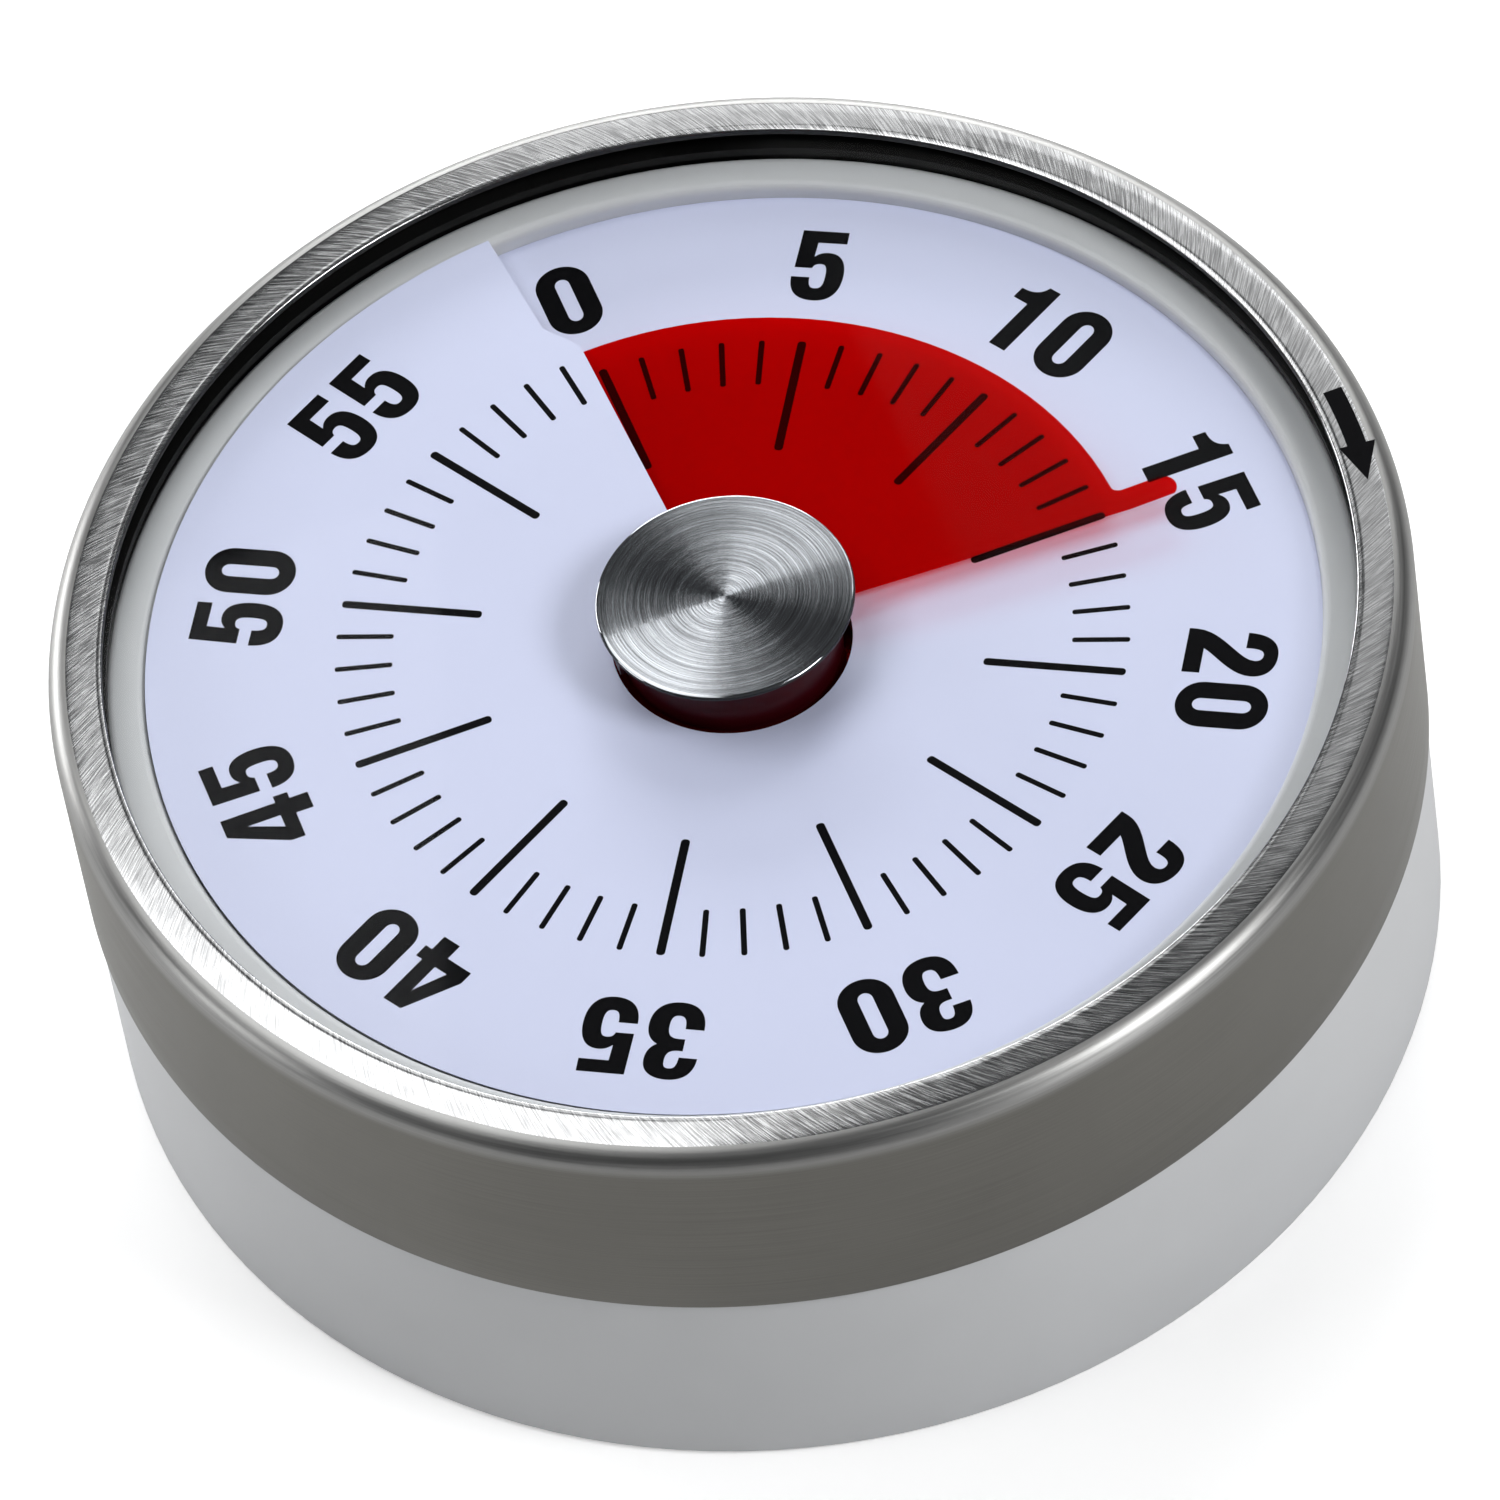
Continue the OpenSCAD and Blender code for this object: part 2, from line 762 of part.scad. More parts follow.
module plate_pillars() {
    color("peru")
        around(pillar_angles, pillar_r)
            difference() {
                union() {
                    rod(pillar_d / 2, back_z1, front_z0);
                    rod(tenon_r, back_z0, back_z1);
                }
                rod(pillar_screw_r + fit, front_z0 - pillar_screw_l - tip_gap, front_z0 + overcut);
            }
}

module pillar_screws() {
    head_r = 1.5;
    head_h = 0.9;
    color("silver")
        around(pillar_angles, pillar_r)
            mirror([0, 0, 1])
                screw(head_r, head_h, pillar_screw_r, -front_z1 - head_h, -front_z0 + pillar_screw_l);
}

module movement_screws() {
    tip_z = deck_z0 + deck_t / 2 - tip_gap;
    color("silver")
        around(ear_angles, ear_r)
            screw(plate_head_r, plate_head_h, plate_screw_d / 2, front_z0 - plate_head_h, tip_z);
}

module arbor_bush() {
    flange_w = 2;
    flange_t = 0.6;
    flange_z1 = front_z1 + flange_t;
    color("gold")
        difference() {
            union() {
                rod(arbor_r + bush_w, front_z0, front_z1);
                rod(arbor_r + flange_w, front_z1, flange_z1);
            }
            rod(arbor_r + pivot_gap, front_z0 - overcut, flange_z1 + overcut);
        }
}

spring_post_r = 0.9;
spring_tenon_r = 0.63;
spring_dir = 225;
spring_steps = 24;
spring_post_at = polar(spring_r + spring_t + spring_post_r, spring_dir);

module spring_post() {
    color("silver") {
        rod(spring_post_r, back_z1, spring_z1 + spring_air, spring_post_at);
        rod(spring_tenon_r, back_z0, back_z1, spring_post_at);
    }
}

module mainspring() {
    start_r = arbor_r + spring_air;
    steps = spring_turns * spring_steps;
    end_angle = spring_dir - 360 * spring_turns;
    function strip(i, side) =
        polar(start_r + side + (spring_r - start_r) * i / steps, end_angle + 360 * spring_turns * i / steps);
    color("steelblue")
        translate([0, 0, spring_z0])
            linear_extrude(height = spring_z1 - spring_z0)
                polygon(concat(
                    [for (i = [0:steps]) strip(i, 0)],
                    [for (i = [steps:-1:0]) strip(i, spring_t)]
                ));
}

module great_wheel() {
    color("gold")
        toothed_wheel([0, 0], 0, great_teeth, great_module, great_z0, great_t, arbor_r + fit, wheel_holes);
}

module clutch_washer() {
    washer_w = 2.6;
    color("silver")
        tube(arbor_r + washer_w, arbor_r + fit, great_z0 - washer_t, great_z0);
}

module strike_cam() {
    notch_w = 1.4;
    notch_depth = 1.2;
    cam_t = 0.8;
    color("silver")
        difference() {
            tube(cam_r, arbor_r + fit, cam_z0, cam_z0 + cam_t);
            rotate([0, 0, hammer_dir + rest_angle])
                translate([cam_r - notch_depth, -notch_w / 2, cam_z0 - overcut])
                    cube([notch_depth + overcut, notch_w, cam_t + 2 * overcut]);
        }
}

module second_pinion() {
    color("lightgray")
        pinion_arbor(
            second_at, mesh_turn(0, great_teeth, second_dir), great_module,
            great_z0 - pinion_margin, great_z1 + pinion_margin / 2
        );
}

module second_wheel() {
    color("gold")
        toothed_wheel(
            second_at, 0, second_teeth, second_module, second_z0, wheel_t, wheel_arbor_r + fit, wheel_holes
        );
}

module third_pinion() {
    color("lightgray")
        pinion_arbor(
            third_at, mesh_turn(0, second_teeth, third_dir), second_module,
            second_z0 - pinion_margin, second_z0 + wheel_t + pinion_margin
        );
}

module third_wheel() {
    color("gold")
        toothed_wheel(
            third_at, 0, third_teeth, third_module, third_z0, wheel_t, wheel_arbor_r + fit, wheel_holes
        );
}

module escape_pinion() {
    color("lightgray")
        pinion_arbor(
            escape_at, mesh_turn(0, third_teeth, escape_dir), third_module,
            third_z0 - pinion_margin, third_z0 + wheel_t + pinion_margin
        );
}

// A wheel of hooked teeth that the verge pins let pass one at a time
module escape_wheel() {
    tip_r = escape_d / 2;
    tooth_h = 1;
    root_r = tip_r - tooth_h;
    step = 360 / escape_teeth;
    gullet_end = 0.45;
    tip_start = 0.75;
    tip_end = 0.85;
    outline = [
        for (i = [0:escape_teeth - 1])
            each [
                polar(root_r, i * step), polar(root_r, (i + gullet_end) * step),
                polar(tip_r, (i + tip_start) * step), polar(tip_r, (i + tip_end) * step)
            ]
    ];
    color("gold")
        translate([escape_at.x, escape_at.y, escape_z0])
            difference() {
                linear_extrude(height = wheel_t)
                    polygon(outline);
                rod(wheel_arbor_r + fit, -overcut, wheel_t + overcut);
            }
}

verge_pin_r = 0.25;
verge_swing = 0.8;
verge_pin_ring = escape_d / 2 + verge_pin_r + verge_swing;
verge_pin_spread = 40;

module verge_arbor() {
    color("lightgray")
        plain_arbor(verge_at);
}

// The verge rocks on its arbor, and its two pins stand beside the escape wheel
module verge() {
    color("silver")
        difference() {
            union() {
                rod(collet_r, verge_z0, verge_z0 + verge_t, verge_at);
                for (side = [-1, 1])
                    let (pin_at = escape_at + polar(verge_pin_ring, verge_dir + side * verge_pin_spread)) {
                        bar(verge_at, pin_at, arm_w, verge_z0, verge_t);
                        rod(verge_pin_r, escape_z0 - verge_lift, verge_z0 + verge_t / 2, pin_at);
                    }
            }
            rod(wheel_arbor_r + fit, verge_z0 - overcut, verge_z0 + verge_t + overcut, verge_at);
        }
}

module balance_bar() {
    half = 4.4;
    bar_w = 1.2;
    weight_r = 1.4;
    out = polar(half, atan2(verge_at.y, verge_at.x));
    color("gold")
        difference() {
            union() {
                bar(verge_at - out, verge_at + out, bar_w, balance_z0, balance_t);
                rod(collet_r, balance_z0, balance_z0 + balance_t, verge_at);
                rod(weight_r, balance_z0, balance_z0 + 2 * balance_t, verge_at - out);
                rod(weight_r, balance_z0, balance_z0 + 2 * balance_t, verge_at + out);
            }
            rod(wheel_arbor_r + fit, balance_z0 - overcut, balance_z0 + balance_t + overcut, verge_at);
        }
}

module hammer_arbor() {
    color("lightgray")
        plain_arbor(hammer_at);
}

// The hammer has a head beside the bell wall and a tail that reaches to the strike cam
module hammer() {
    arm_t = 0.8;
    head_arm_w = 1.6;
    head_h = 3;
    collet_h = 2;
    tail_gap = 0.9;
    tail_at = polar(cam_r + tail_gap, hammer_dir);
    color("slategray")
        difference() {
            union() {
                rod(collet_r, hammer_z0, hammer_z0 + collet_h, hammer_at);
                bar(hammer_at, hammer_head_at, head_arm_w, hammer_z0, arm_t);
                bar(hammer_at, tail_at, arm_w, hammer_z0, arm_t);
                rod(hammer_d / 2, hammer_z0, hammer_z0 + head_h, hammer_head_at);
            }
            rod(wheel_arbor_r + fit, hammer_z0 - overcut, hammer_z0 + collet_h + overcut, hammer_at);
        }
}

module bell() {
    r = bell_d / 2;
    rim_z = bell_z0 + bell_h;
    outline = concat(
        [[bell_hole_r, bell_z0]],
        arc([r - bell_round, bell_z0 + bell_round], bell_round, -90, 0),
        [[r, rim_z], [r - bell_t, rim_z]],
        arc([r - bell_round, bell_z0 + bell_round], bell_round - bell_t, 0, -90),
        [[bell_hole_r, bell_z0 + bell_t]]
    );
    color("lightslategray")
        rotate_extrude()
            polygon(outline);
}

module bell_screw() {
    head_r = 2.6;
    face_z = bell_z0 + bell_t + bell_head_h;
    color("silver")
        mirror([0, 0, 1])
            screw(head_r, bell_head_h, bell_screw_r, -face_z, -bell_z0 + bell_screw_l);
}

base_housing();
dial_deck();
dial_seat();
dial();
magnets();
housing_screws();
front_plate();
back_plate();
plate_pillars();
pillar_screws();
movement_screws();
arbor_bush();
mainspring();
spring_post();
bell();
bell_screw();
steel_ring();
ring_liner();
lens();
red_hub();
knob_cap();
hub_screw();
red_leaf();
winding_arbor();
great_wheel();
clutch_washer();
strike_cam();
second_pinion();
second_wheel();
third_pinion();
third_wheel();
escape_pinion();
escape_wheel();
verge_arbor();
verge();
balance_bar();
hammer_arbor();
hammer();
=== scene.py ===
"""Dresses the wind-up kitchen timer: brushed steel, plastics, films and print around its solids."""
import math

import bmesh
import bpy
from mathutils import Matrix, Vector


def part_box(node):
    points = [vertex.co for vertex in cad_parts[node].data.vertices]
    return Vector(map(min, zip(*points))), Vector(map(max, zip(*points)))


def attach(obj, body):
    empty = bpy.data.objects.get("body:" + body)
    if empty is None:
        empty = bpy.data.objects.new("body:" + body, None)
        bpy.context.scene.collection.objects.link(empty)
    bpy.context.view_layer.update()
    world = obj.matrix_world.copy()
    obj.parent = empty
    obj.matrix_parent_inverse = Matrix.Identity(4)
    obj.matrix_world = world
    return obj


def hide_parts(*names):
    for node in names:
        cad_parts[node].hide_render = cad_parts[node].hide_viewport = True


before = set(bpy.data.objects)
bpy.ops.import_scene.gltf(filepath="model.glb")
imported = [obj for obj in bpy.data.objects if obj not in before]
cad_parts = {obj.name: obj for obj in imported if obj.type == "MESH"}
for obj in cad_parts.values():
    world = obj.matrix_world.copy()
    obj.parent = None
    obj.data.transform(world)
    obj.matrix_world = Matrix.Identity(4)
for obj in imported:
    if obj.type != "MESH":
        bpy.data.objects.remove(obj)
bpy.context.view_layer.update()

bl_info = {
    "name": "Kitchen timer dresser",
    "version": (1, 0, 0),
    "blender": (4, 5, 0),
    "location": "View3D > Sidebar > Timer",
    "description": "Models and finishes the visible pieces of a wind-up kitchen timer",
    "category": "Object",
}

MM = 0.001
# Faces round a full turn: the large shells, the knob cap and the sloping dial
SHELL_STEPS = 240
CAP_STEPS = 160
DIAL_STEPS = 360
# Steps of a profile's roundings: a cut edge, the edge of the cap and the ring's bend
CUT_STEPS = 3
CAP_EDGE_STEPS = 5
BEND_STEPS = 12
# Rows of faces up the ring's wall and across its rim
WALL_ROWS = 6
RIM_ROWS = 4
# Straight pieces of each curve of the print, and the rounding of a tick as a share of its width
CURVE_STEPS = 10
TICK_ROUNDING = 0.42
DEGREES_PER_MINUTE = 6
# Points nearer than this are one point, and edges sharper than this stay sharp
MERGE_DISTANCE = 0.001 * MM
SHARP_ANGLE = math.radians(35)
# Upward part of a face's normal: on the level rim, at the end of the rim's inner rounding,
# under the ring, and at the edge of the cap's top
LEVEL_RIM = 0.995
# Faces that look further down than the next three limits get near-black steel: painted shade.
INNER_ROUNDING = 0.3
RING_UNDERSIDE = -0.5
CAP_TOP = 0.7

# The stage, in metres: what the lamps point at, the height of the glowing sheets and the floor's width
LAMP_AIM = Vector((0, 0, 0.02))
SHEET_HEIGHT = 0.6
FLOOR_WIDTH = 6
# The camera: its distance in metres, its lens in pixels of the picture, the picture's width, and the
# width of the sensor in millimetres
CAMERA_DISTANCE = 0.72189
FOCAL_PIXELS = 12477.1
PICTURE_PIXELS = 1500
SENSOR_WIDTH = 36

RING_LOW, RING_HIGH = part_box("steel_ring")
CAP_LOW, CAP_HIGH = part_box("knob_cap")
DIAL_LOW, DIAL_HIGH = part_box("dial")


def length(name, description, millimetres):
    """A length property with its default in millimetres."""
    return bpy.props.FloatProperty(
        name=name, description=description, default=millimetres * MM,
        min=0, precision=5, subtype="DISTANCE", unit="LENGTH",
    )


def turn(name, description, degrees):
    """An angle property with its default in degrees."""
    return bpy.props.FloatProperty(
        name=name, description=description, default=math.radians(degrees),
        subtype="ANGLE", unit="ROTATION",
    )


def minute(name, description, value):
    """A place on the scale of the dial, in minutes."""
    return bpy.props.FloatProperty(name=name, description=description, default=value)


def colour(name, description, red, green, blue):
    """A linear colour property."""
    return bpy.props.FloatVectorProperty(
        name=name, description=description, default=(red, green, blue),
        min=0, max=1, subtype="COLOR",
    )


class TimerSizes(bpy.types.PropertyGroup):
    """Sizes of the pieces that are modelled here"""

    rim_width: length("Rim width", "Width of the flat steel rim around the lens", 3.3)
    sheet: length("Sheet", "Sheet thickness of the steel ring", 0.5)
    edge_round: length("Edge rounding", "Rounding of the upper edge of the ring", 1.35)
    cut_round: length("Cut edge rounding", "Rounding of the cut edges of the steel sheet", 0.12)
    cap_sheet: length("Cap thickness", "Thickness of the knob cap over the hub", 0.6)
    cap_edge: length("Cap edge", "Thickness of the knob cap at its edge", 0.25)
    cap_flat: length("Cap underside", "Radius at which the underside of the cap starts to rise", 6.5)
    cap_spigot: length("Cap spigot", "Radius of the spigot under the knob cap", 2.8)
    cap_round: length("Cap edge rounding", "Rounding of the upper edge of the knob cap", 0.16)
    groove_pitch: length("Groove pitch", "Distance between the turned grooves of the cap", 0.22)
    groove_depth: length("Groove depth", "Depth of the turned grooves of the cap", 0.003)
    film: length("Film", "Thickness of the dial", 0.05)
    dial_hole: length("Dial hole", "Radius of the hole in the dial", 7.05)
    dial_reach: length("Dial reach", "How far the film's edge reaches out to the border", 0.19)
    jog_inner: length("Jog start", "Radius at which the slit starts to step aside", 24.3)
    jog_outer: length("Jog end", "Radius at which the slit has stepped aside", 26.5)
    slit_angle: turn("Slit angle", "Angle of the slit before 0 minutes", 1.75)
    jog_angle: turn("Jog angle", "Angle of the slit beside the number", 5)
    slit_half: turn("Slit gap", "Half the opening of the slit", 0.3)
    ink: length("Ink", "Height of the print above what it is printed on", 0.006)
    tick_outer: length("Tick outer radius", "Radius at which all ticks end", 23.3)
    tick_inner: length("Tick inner radius", "Radius at which the minute ticks start", 19.9)
    tick_width: length("Tick width", "Width of the minute ticks", 0.35)
    long_inner: length("Long tick radius", "Radius at which the five-minute ticks start", 14.9)
    long_width: length("Long tick width", "Width of the five-minute ticks", 0.53)
    number_radius: length("Number radius", "Radius of the foot of the numbers", 26.5)
    number_gap: length("Number gap", "Space between the figures of a number", 0.64)
    arrow_shaft_in: length("Arrow shaft inside", "Inner radius of the arrow's shaft", 37.5)
    arrow_shaft_out: length("Arrow shaft outside", "Outer radius of the arrow's shaft", 38.65)
    arrow_head_in: length("Arrow head inside", "Inner radius of the arrow's head", 37.0)
    arrow_head_out: length("Arrow head outside", "Outer radius of the arrow's head", 39.2)


class TimerColours(bpy.types.PropertyGroup):
    """Colours of the finishes"""

    # The wall and the rounded edge are darker copies of the rim's steel: painted shade in place of the dark
    # surroundings they mirror.
    wall: colour("Wall steel", "Brushed steel of the ring's wall", 0.172, 0.167, 0.152)
    edge: colour("Edge steel", "Brushed steel of the ring's rounded edge", 0.32, 0.32, 0.315)
    rim: colour("Rim steel", "Brushed steel of the flat rim", 0.48, 0.485, 0.49)
    # Near-black, far darker than the steel: painted shade on the ring's inner edge and underside and on the
    # cap's side and underside.
    cut: colour("Cut steel", "Sheared inner edge of the rim", 0.05, 0.05, 0.05)
    cap: colour("Cap steel", "Turned steel of the knob cap", 0.42, 0.44, 0.465)
    white: colour("White plastic", "Foot, deck and housing", 0.6, 0.61, 0.625)
    black: colour("Black plastic", "Liner under the rim", 0.006, 0.006, 0.006)
    dial: colour("Dial", "White dial film", 0.63, 0.66, 0.86)
    ink: colour("Ink", "Black print", 0.0018, 0.0018, 0.0025)
    film: colour("Red film", "Light that passes one face of the red leaf", 0.875, 0.006, 0.012)
    leaf: colour("Red leaf", "Pigment of the red leaf", 0.42, 0.001, 0.004)
    # Far darker than the leaf's red: painted shade, the same red plastic as it looks in the cap's shadow.
    hub: colour("Red hub", "Dark red plastic of the hub", 0.04, 0.001, 0.003)
    brass: colour("Brass", "Plates and wheels of the movement", 0.56, 0.40, 0.15)
    bright_steel: colour("Bright steel", "Arbors, screws and bell", 0.52, 0.52, 0.51)
    blue_steel: colour("Spring steel", "Mainspring", 0.13, 0.15, 0.20)
    magnet: colour("Magnet", "Nickel-plated magnets", 0.40, 0.40, 0.39)


def sizes():
    return bpy.context.scene.timer_sizes


def colours():
    return bpy.context.scene.timer_colours


# Modelling helpers


def deselect():
    """Leaves edit mode with nothing selected."""
    if bpy.context.mode != "OBJECT":
        bpy.ops.object.mode_set(mode="OBJECT")
    bpy.ops.object.select_all(action="DESELECT")


def take(name):
    """Names the active object and its mesh."""
    piece = bpy.context.object
    piece.name = name
    piece.data.name = name
    return piece


def select_alone(piece):
    """Makes a piece the only selected one."""
    deselect()
    piece.select_set(True)
    bpy.context.view_layer.objects.active = piece


def edit_all(piece):
    """Enters edit mode with the whole mesh selected."""
    select_alone(piece)
    bpy.ops.object.mode_set(mode="EDIT")
    bpy.ops.mesh.select_all(action="SELECT")


def settle(piece):
    """Puts the piece's place into its mesh."""
    select_alone(piece)
    bpy.ops.object.transform_apply(location=True, rotation=True, scale=True)


def pick(piece, kind, test):
    """Enters edit mode and selects the vertices, edges or faces that pass the test."""
    select_alone(piece)
    bpy.ops.object.mode_set(mode="EDIT")
    bpy.ops.mesh.select_mode(type=kind)
    bpy.ops.mesh.select_all(action="DESELECT")
    mesh = bmesh.from_edit_mesh(piece.data)
    for item in {"VERT": mesh.verts, "EDGE": mesh.edges, "FACE": mesh.faces}[kind]:
        item.select_set(test(item))
    mesh.select_flush_mode()
    bmesh.update_edit_mesh(piece.data)


def drawn_line(name, points):
    """A line of vertices, drawn by extruding one vertex from point to point."""
    deselect()
    bpy.ops.mesh.primitive_plane_add(size=MM, location=points[0])
    line = take(name)
    settle(line)
    edit_all(line)
    bpy.ops.mesh.merge(type="CENTER")
    for start, end in zip(points, points[1:]):
        bpy.ops.mesh.extrude_vertices_move(TRANSFORM_OT_translate={"value": Vector(end) - Vector(start)})
    bpy.ops.object.mode_set(mode="OBJECT")
    return line


def spun(name, points, steps):
    """A body of revolution about the axis of the timer."""
    body = drawn_line(name, points)
    edit_all(body)
    bpy.ops.mesh.spin(steps=steps, angle=math.tau, center=(0, 0, 0), axis=(0, 0, 1))
    bpy.ops.mesh.select_all(action="SELECT")
    bpy.ops.mesh.remove_doubles(threshold=MERGE_DISTANCE)
    bpy.ops.mesh.normals_make_consistent(inside=False)
    bpy.ops.object.mode_set(mode="OBJECT")
    return body


def arc(centre_r, centre_z, radius, start, end, count):
    """Points of a round corner in the plane of a profile, angles in degrees."""
    points = []
    for i in range(count + 1):
        angle = math.radians(start + (end - start) * i / count)
        points.append((centre_r + radius * math.cos(angle), 0, centre_z + radius * math.sin(angle)))
    return points


def apply_modifier(piece, name, kind, **settings):
    """Adds a modifier with its settings and applies it."""
    select_alone(piece)
    modifier = piece.modifiers.new(name, kind)
    for key, value in settings.items():
        setattr(modifier, key, value)
    bpy.ops.object.modifier_apply(modifier=name)


def smooth(piece):
    """Shades a piece smooth, apart from its sharp edges."""
    select_alone(piece)
    bpy.ops.object.shade_smooth_by_angle(angle=SHARP_ANGLE)


def outline(path, shift_x, shift_y):
    """Points of a drawn path: pairs are corners, sixes are curves with two handles and an end."""
    points = [path[0]]
    for step in path[1:]:
        if len(step) == 2:
            points.append(step)
            continue
        start = Vector(points[-1])
        first, second, end = Vector(step[0:2]), Vector(step[2:4]), Vector(step[4:6])
        for i in range(1, CURVE_STEPS + 1):
            t = i / CURVE_STEPS
            u = 1 - t
            points.append(tuple(u**3 * start + 3 * u * u * t * first + 3 * u * t * t * second + t**3 * end))
    return [(x * MM + shift_x, y * MM + shift_y) for x, y in points]


def flat_shape(name, contours, height):
    """A flat filled shape with holes, as a mesh at a height."""
    deselect()
    curve = bpy.data.curves.new(name, "CURVE")
    curve.dimensions = "2D"
    curve.fill_mode = "BOTH"
    for contour in contours:
        spline = curve.splines.new("POLY")
        spline.points.add(len(contour) - 1)
        for point, (x, y) in zip(spline.points, contour):
            point.co = (x, y, 0, 1)
        spline.use_cyclic_u = True
    shape = bpy.data.objects.new(name, curve)
    bpy.context.scene.collection.objects.link(shape)
    select_alone(shape)
    bpy.ops.object.convert(target="MESH")
    shape = take(name)
    shape.location.z = height
    settle(shape)
    edit_all(shape)
    bpy.ops.mesh.remove_doubles(threshold=MERGE_DISTANCE)
    bpy.ops.object.mode_set(mode="OBJECT")
    return shape


def joined(pieces, name):
    """Joins pieces into one."""
    deselect()
    for piece in pieces:
        piece.select_set(True)
    bpy.context.view_layer.objects.active = pieces[0]
    bpy.ops.object.join()
    return take(name)


def face_up(piece):
    """Turns all faces of a flat piece upwards."""
    pick(piece, "FACE", lambda face: face.normal.z < 0)
    bpy.ops.mesh.flip_normals()
    bpy.ops.object.mode_set(mode="OBJECT")


def drape(piece, ground):
    """Lays flat print on the sloping dial and gives it the thickness of ink."""
    face_up(piece)
    apply_modifier(
        piece, "Lay down", "SHRINKWRAP", target=ground, wrap_method="PROJECT",
        use_project_z=True, use_negative_direction=True, use_positive_direction=False,
        wrap_mode="ABOVE_SURFACE", offset=sizes().ink,
    )
    apply_modifier(piece, "Ink", "SOLIDIFY", thickness=2 * sizes().ink, offset=-1)


def place(piece, body, slot, *nodes):
    """Parents a finished piece to the empty of its body and hides the solids it stands for."""
    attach(piece, body)
    if nodes:
        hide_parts(*nodes)


# Finishes


class Finish:
    """A material under construction, with short ways to add its nodes."""

    def __init__(self, name):
        self.material = bpy.data.materials.new(name)
        self.material.use_nodes = True
        self.tree = self.material.node_tree
        self.shader = self.tree.nodes["Principled BSDF"]
        self.output = self.tree.nodes["Material Output"]

    def add(self, kind, sockets=None, **settings):
        """A new node with its settings, and with values or links in its sockets."""
        node = self.tree.nodes.new(kind)
        for key, value in settings.items():
            setattr(node, key, value)
        for key, value in (sockets or {}).items():
            self.put(node, key, value)
        return node

    def put(self, node, key, value):
        """Links a socket to another one, or gives it a value."""
        if isinstance(value, bpy.types.NodeSocket):
            self.tree.links.new(value, node.inputs[key])
        else:
            node.inputs[key].default_value = value

    def set(self, **values):
        """Fills sockets of the main shader."""
        for key, value in values.items():
            self.put(self.shader, key.replace("_", " ").title(), value)

    def surface(self, node):
        """Makes a shader node the surface of the material."""
        self.tree.links.new(node.outputs[0], self.output.inputs["Surface"])

    def math(self, operation, first, second=0.0):
        """One sum on values or sockets."""
        return self.add("ShaderNodeMath", {0: first, 1: second}, operation=operation).outputs[0]

    def place(self):
        """Object coordinates, in metres."""
        return self.add("ShaderNodeTexCoord").outputs["Object"]

    def stretched(self, scale):
        """Object coordinates stretched by three factors per metre."""
        return self.add("ShaderNodeMapping", {"Vector": self.place(), "Scale": scale}).outputs[0]

    def noise(self, vector, detail):
        """Noise with about one spot to the unit of its coordinates."""
        sockets = {"Vector": vector, "Scale": 1.0, "Detail": detail, "Roughness": 0.55}
        return self.add("ShaderNodeTexNoise", sockets).outputs["Fac"]

    def grain(self, per_metre, detail):
        """Noise that is alike in all directions, with so many spots to the metre."""
        return self.noise(self.stretched((per_metre, per_metre, per_metre)), detail)

    def blend(self, first, second, share):
        """Two patterns added up, the first by its share and the second by the rest."""
        rest = self.math("MULTIPLY", second, 1 - share)
        return self.math("ADD", self.math("MULTIPLY", first, share), rest)

    def polar(self):
        """Angle, radius and height of a point about the axis of the timer."""
        x, y, z = self.add("ShaderNodeSeparateXYZ", {0: self.place()}).outputs
        square = self.math("ADD", self.math("MULTIPLY", x, x), self.math("MULTIPLY", y, y))
        return self.math("ARCTAN2", y, x), self.math("SQRT", square), z

    def vector(self, x, y, z):
        """Three values as one vector."""
        return self.add("ShaderNodeCombineXYZ", {0: x, 1: y, 2: z}).outputs[0]

    def spread(self, value, low, high):
        """Maps the middle of a noise onto a range."""
        sockets = {"Value": value, "From Min": 0.25, "From Max": 0.75, "To Min": low, "To Max": high}
        return self.add("ShaderNodeMapRange", sockets).outputs[0]

    def edge_blend(self, z, wall, edge):
        """A colour that passes by height from the darker wall of the ring to its lighter rounded edge:
        painted shade, darker towards the bottom.
        """
        bend = sizes().edge_round
        sockets = {"Value": z, "From Min": RING_HIGH.z - 1.3 * bend, "From Max": RING_HIGH.z - 0.5 * bend}
        rise = self.add("ShaderNodeMapRange", sockets, interpolation_type="SMOOTHSTEP").outputs[0]
        mix = self.add("ShaderNodeMix", data_type="RGBA")
        # Sockets 6 and 7 of a mix node are its two colours, and output 2 is the mixed one
        self.put(mix, 0, rise)
        self.put(mix, 6, (*wall, 1))
        self.put(mix, 7, (*edge, 1))
        return mix.outputs[2]

    def tinted(self, value, base, low, high):
        """A colour that is darker and lighter than its base where a noise says so."""
        factor = self.spread(value, low, high)
        tint = self.vector(factor, factor, factor)
        sockets = {0: base if isinstance(base, bpy.types.NodeSocket) else tuple(base), 1: tint}
        return self.add("ShaderNodeVectorMath", sockets, operation="MULTIPLY").outputs[0]

    def bump(self, height, strength, distance):
        """A normal that follows a pattern as if it were relief."""
        sockets = {"Height": height, "Strength": strength, "Distance": distance}
        return self.add("ShaderNodeBump", sockets).outputs[0]


def scratches(f, along, across, slant, streak, width):
    """Fine scratches of a length and width, at an angle to the way round the timer."""
    cos, sin = math.cos(slant), math.sin(slant)
    run = f.math("ADD", f.math("MULTIPLY", along, cos), f.math("MULTIPLY", across, sin))
    side = f.math("SUBTRACT", f.math("MULTIPLY", across, cos), f.math("MULTIPLY", along, sin))
    return f.noise(f.vector(f.math("DIVIDE", run, streak), f.math("DIVIDE", side, width), 0.0), detail=2)


def round_the_axis(f, strength, rotation):
    """Stretches highlights across scratches, at a part of a turn to the way round the timer."""
    f.set(anisotropic=strength, anisotropic_rotation=rotation)
    f.put(f.shader, "Tangent", f.add("ShaderNodeTangent", direction_type="RADIAL", axis="Z").outputs[0])


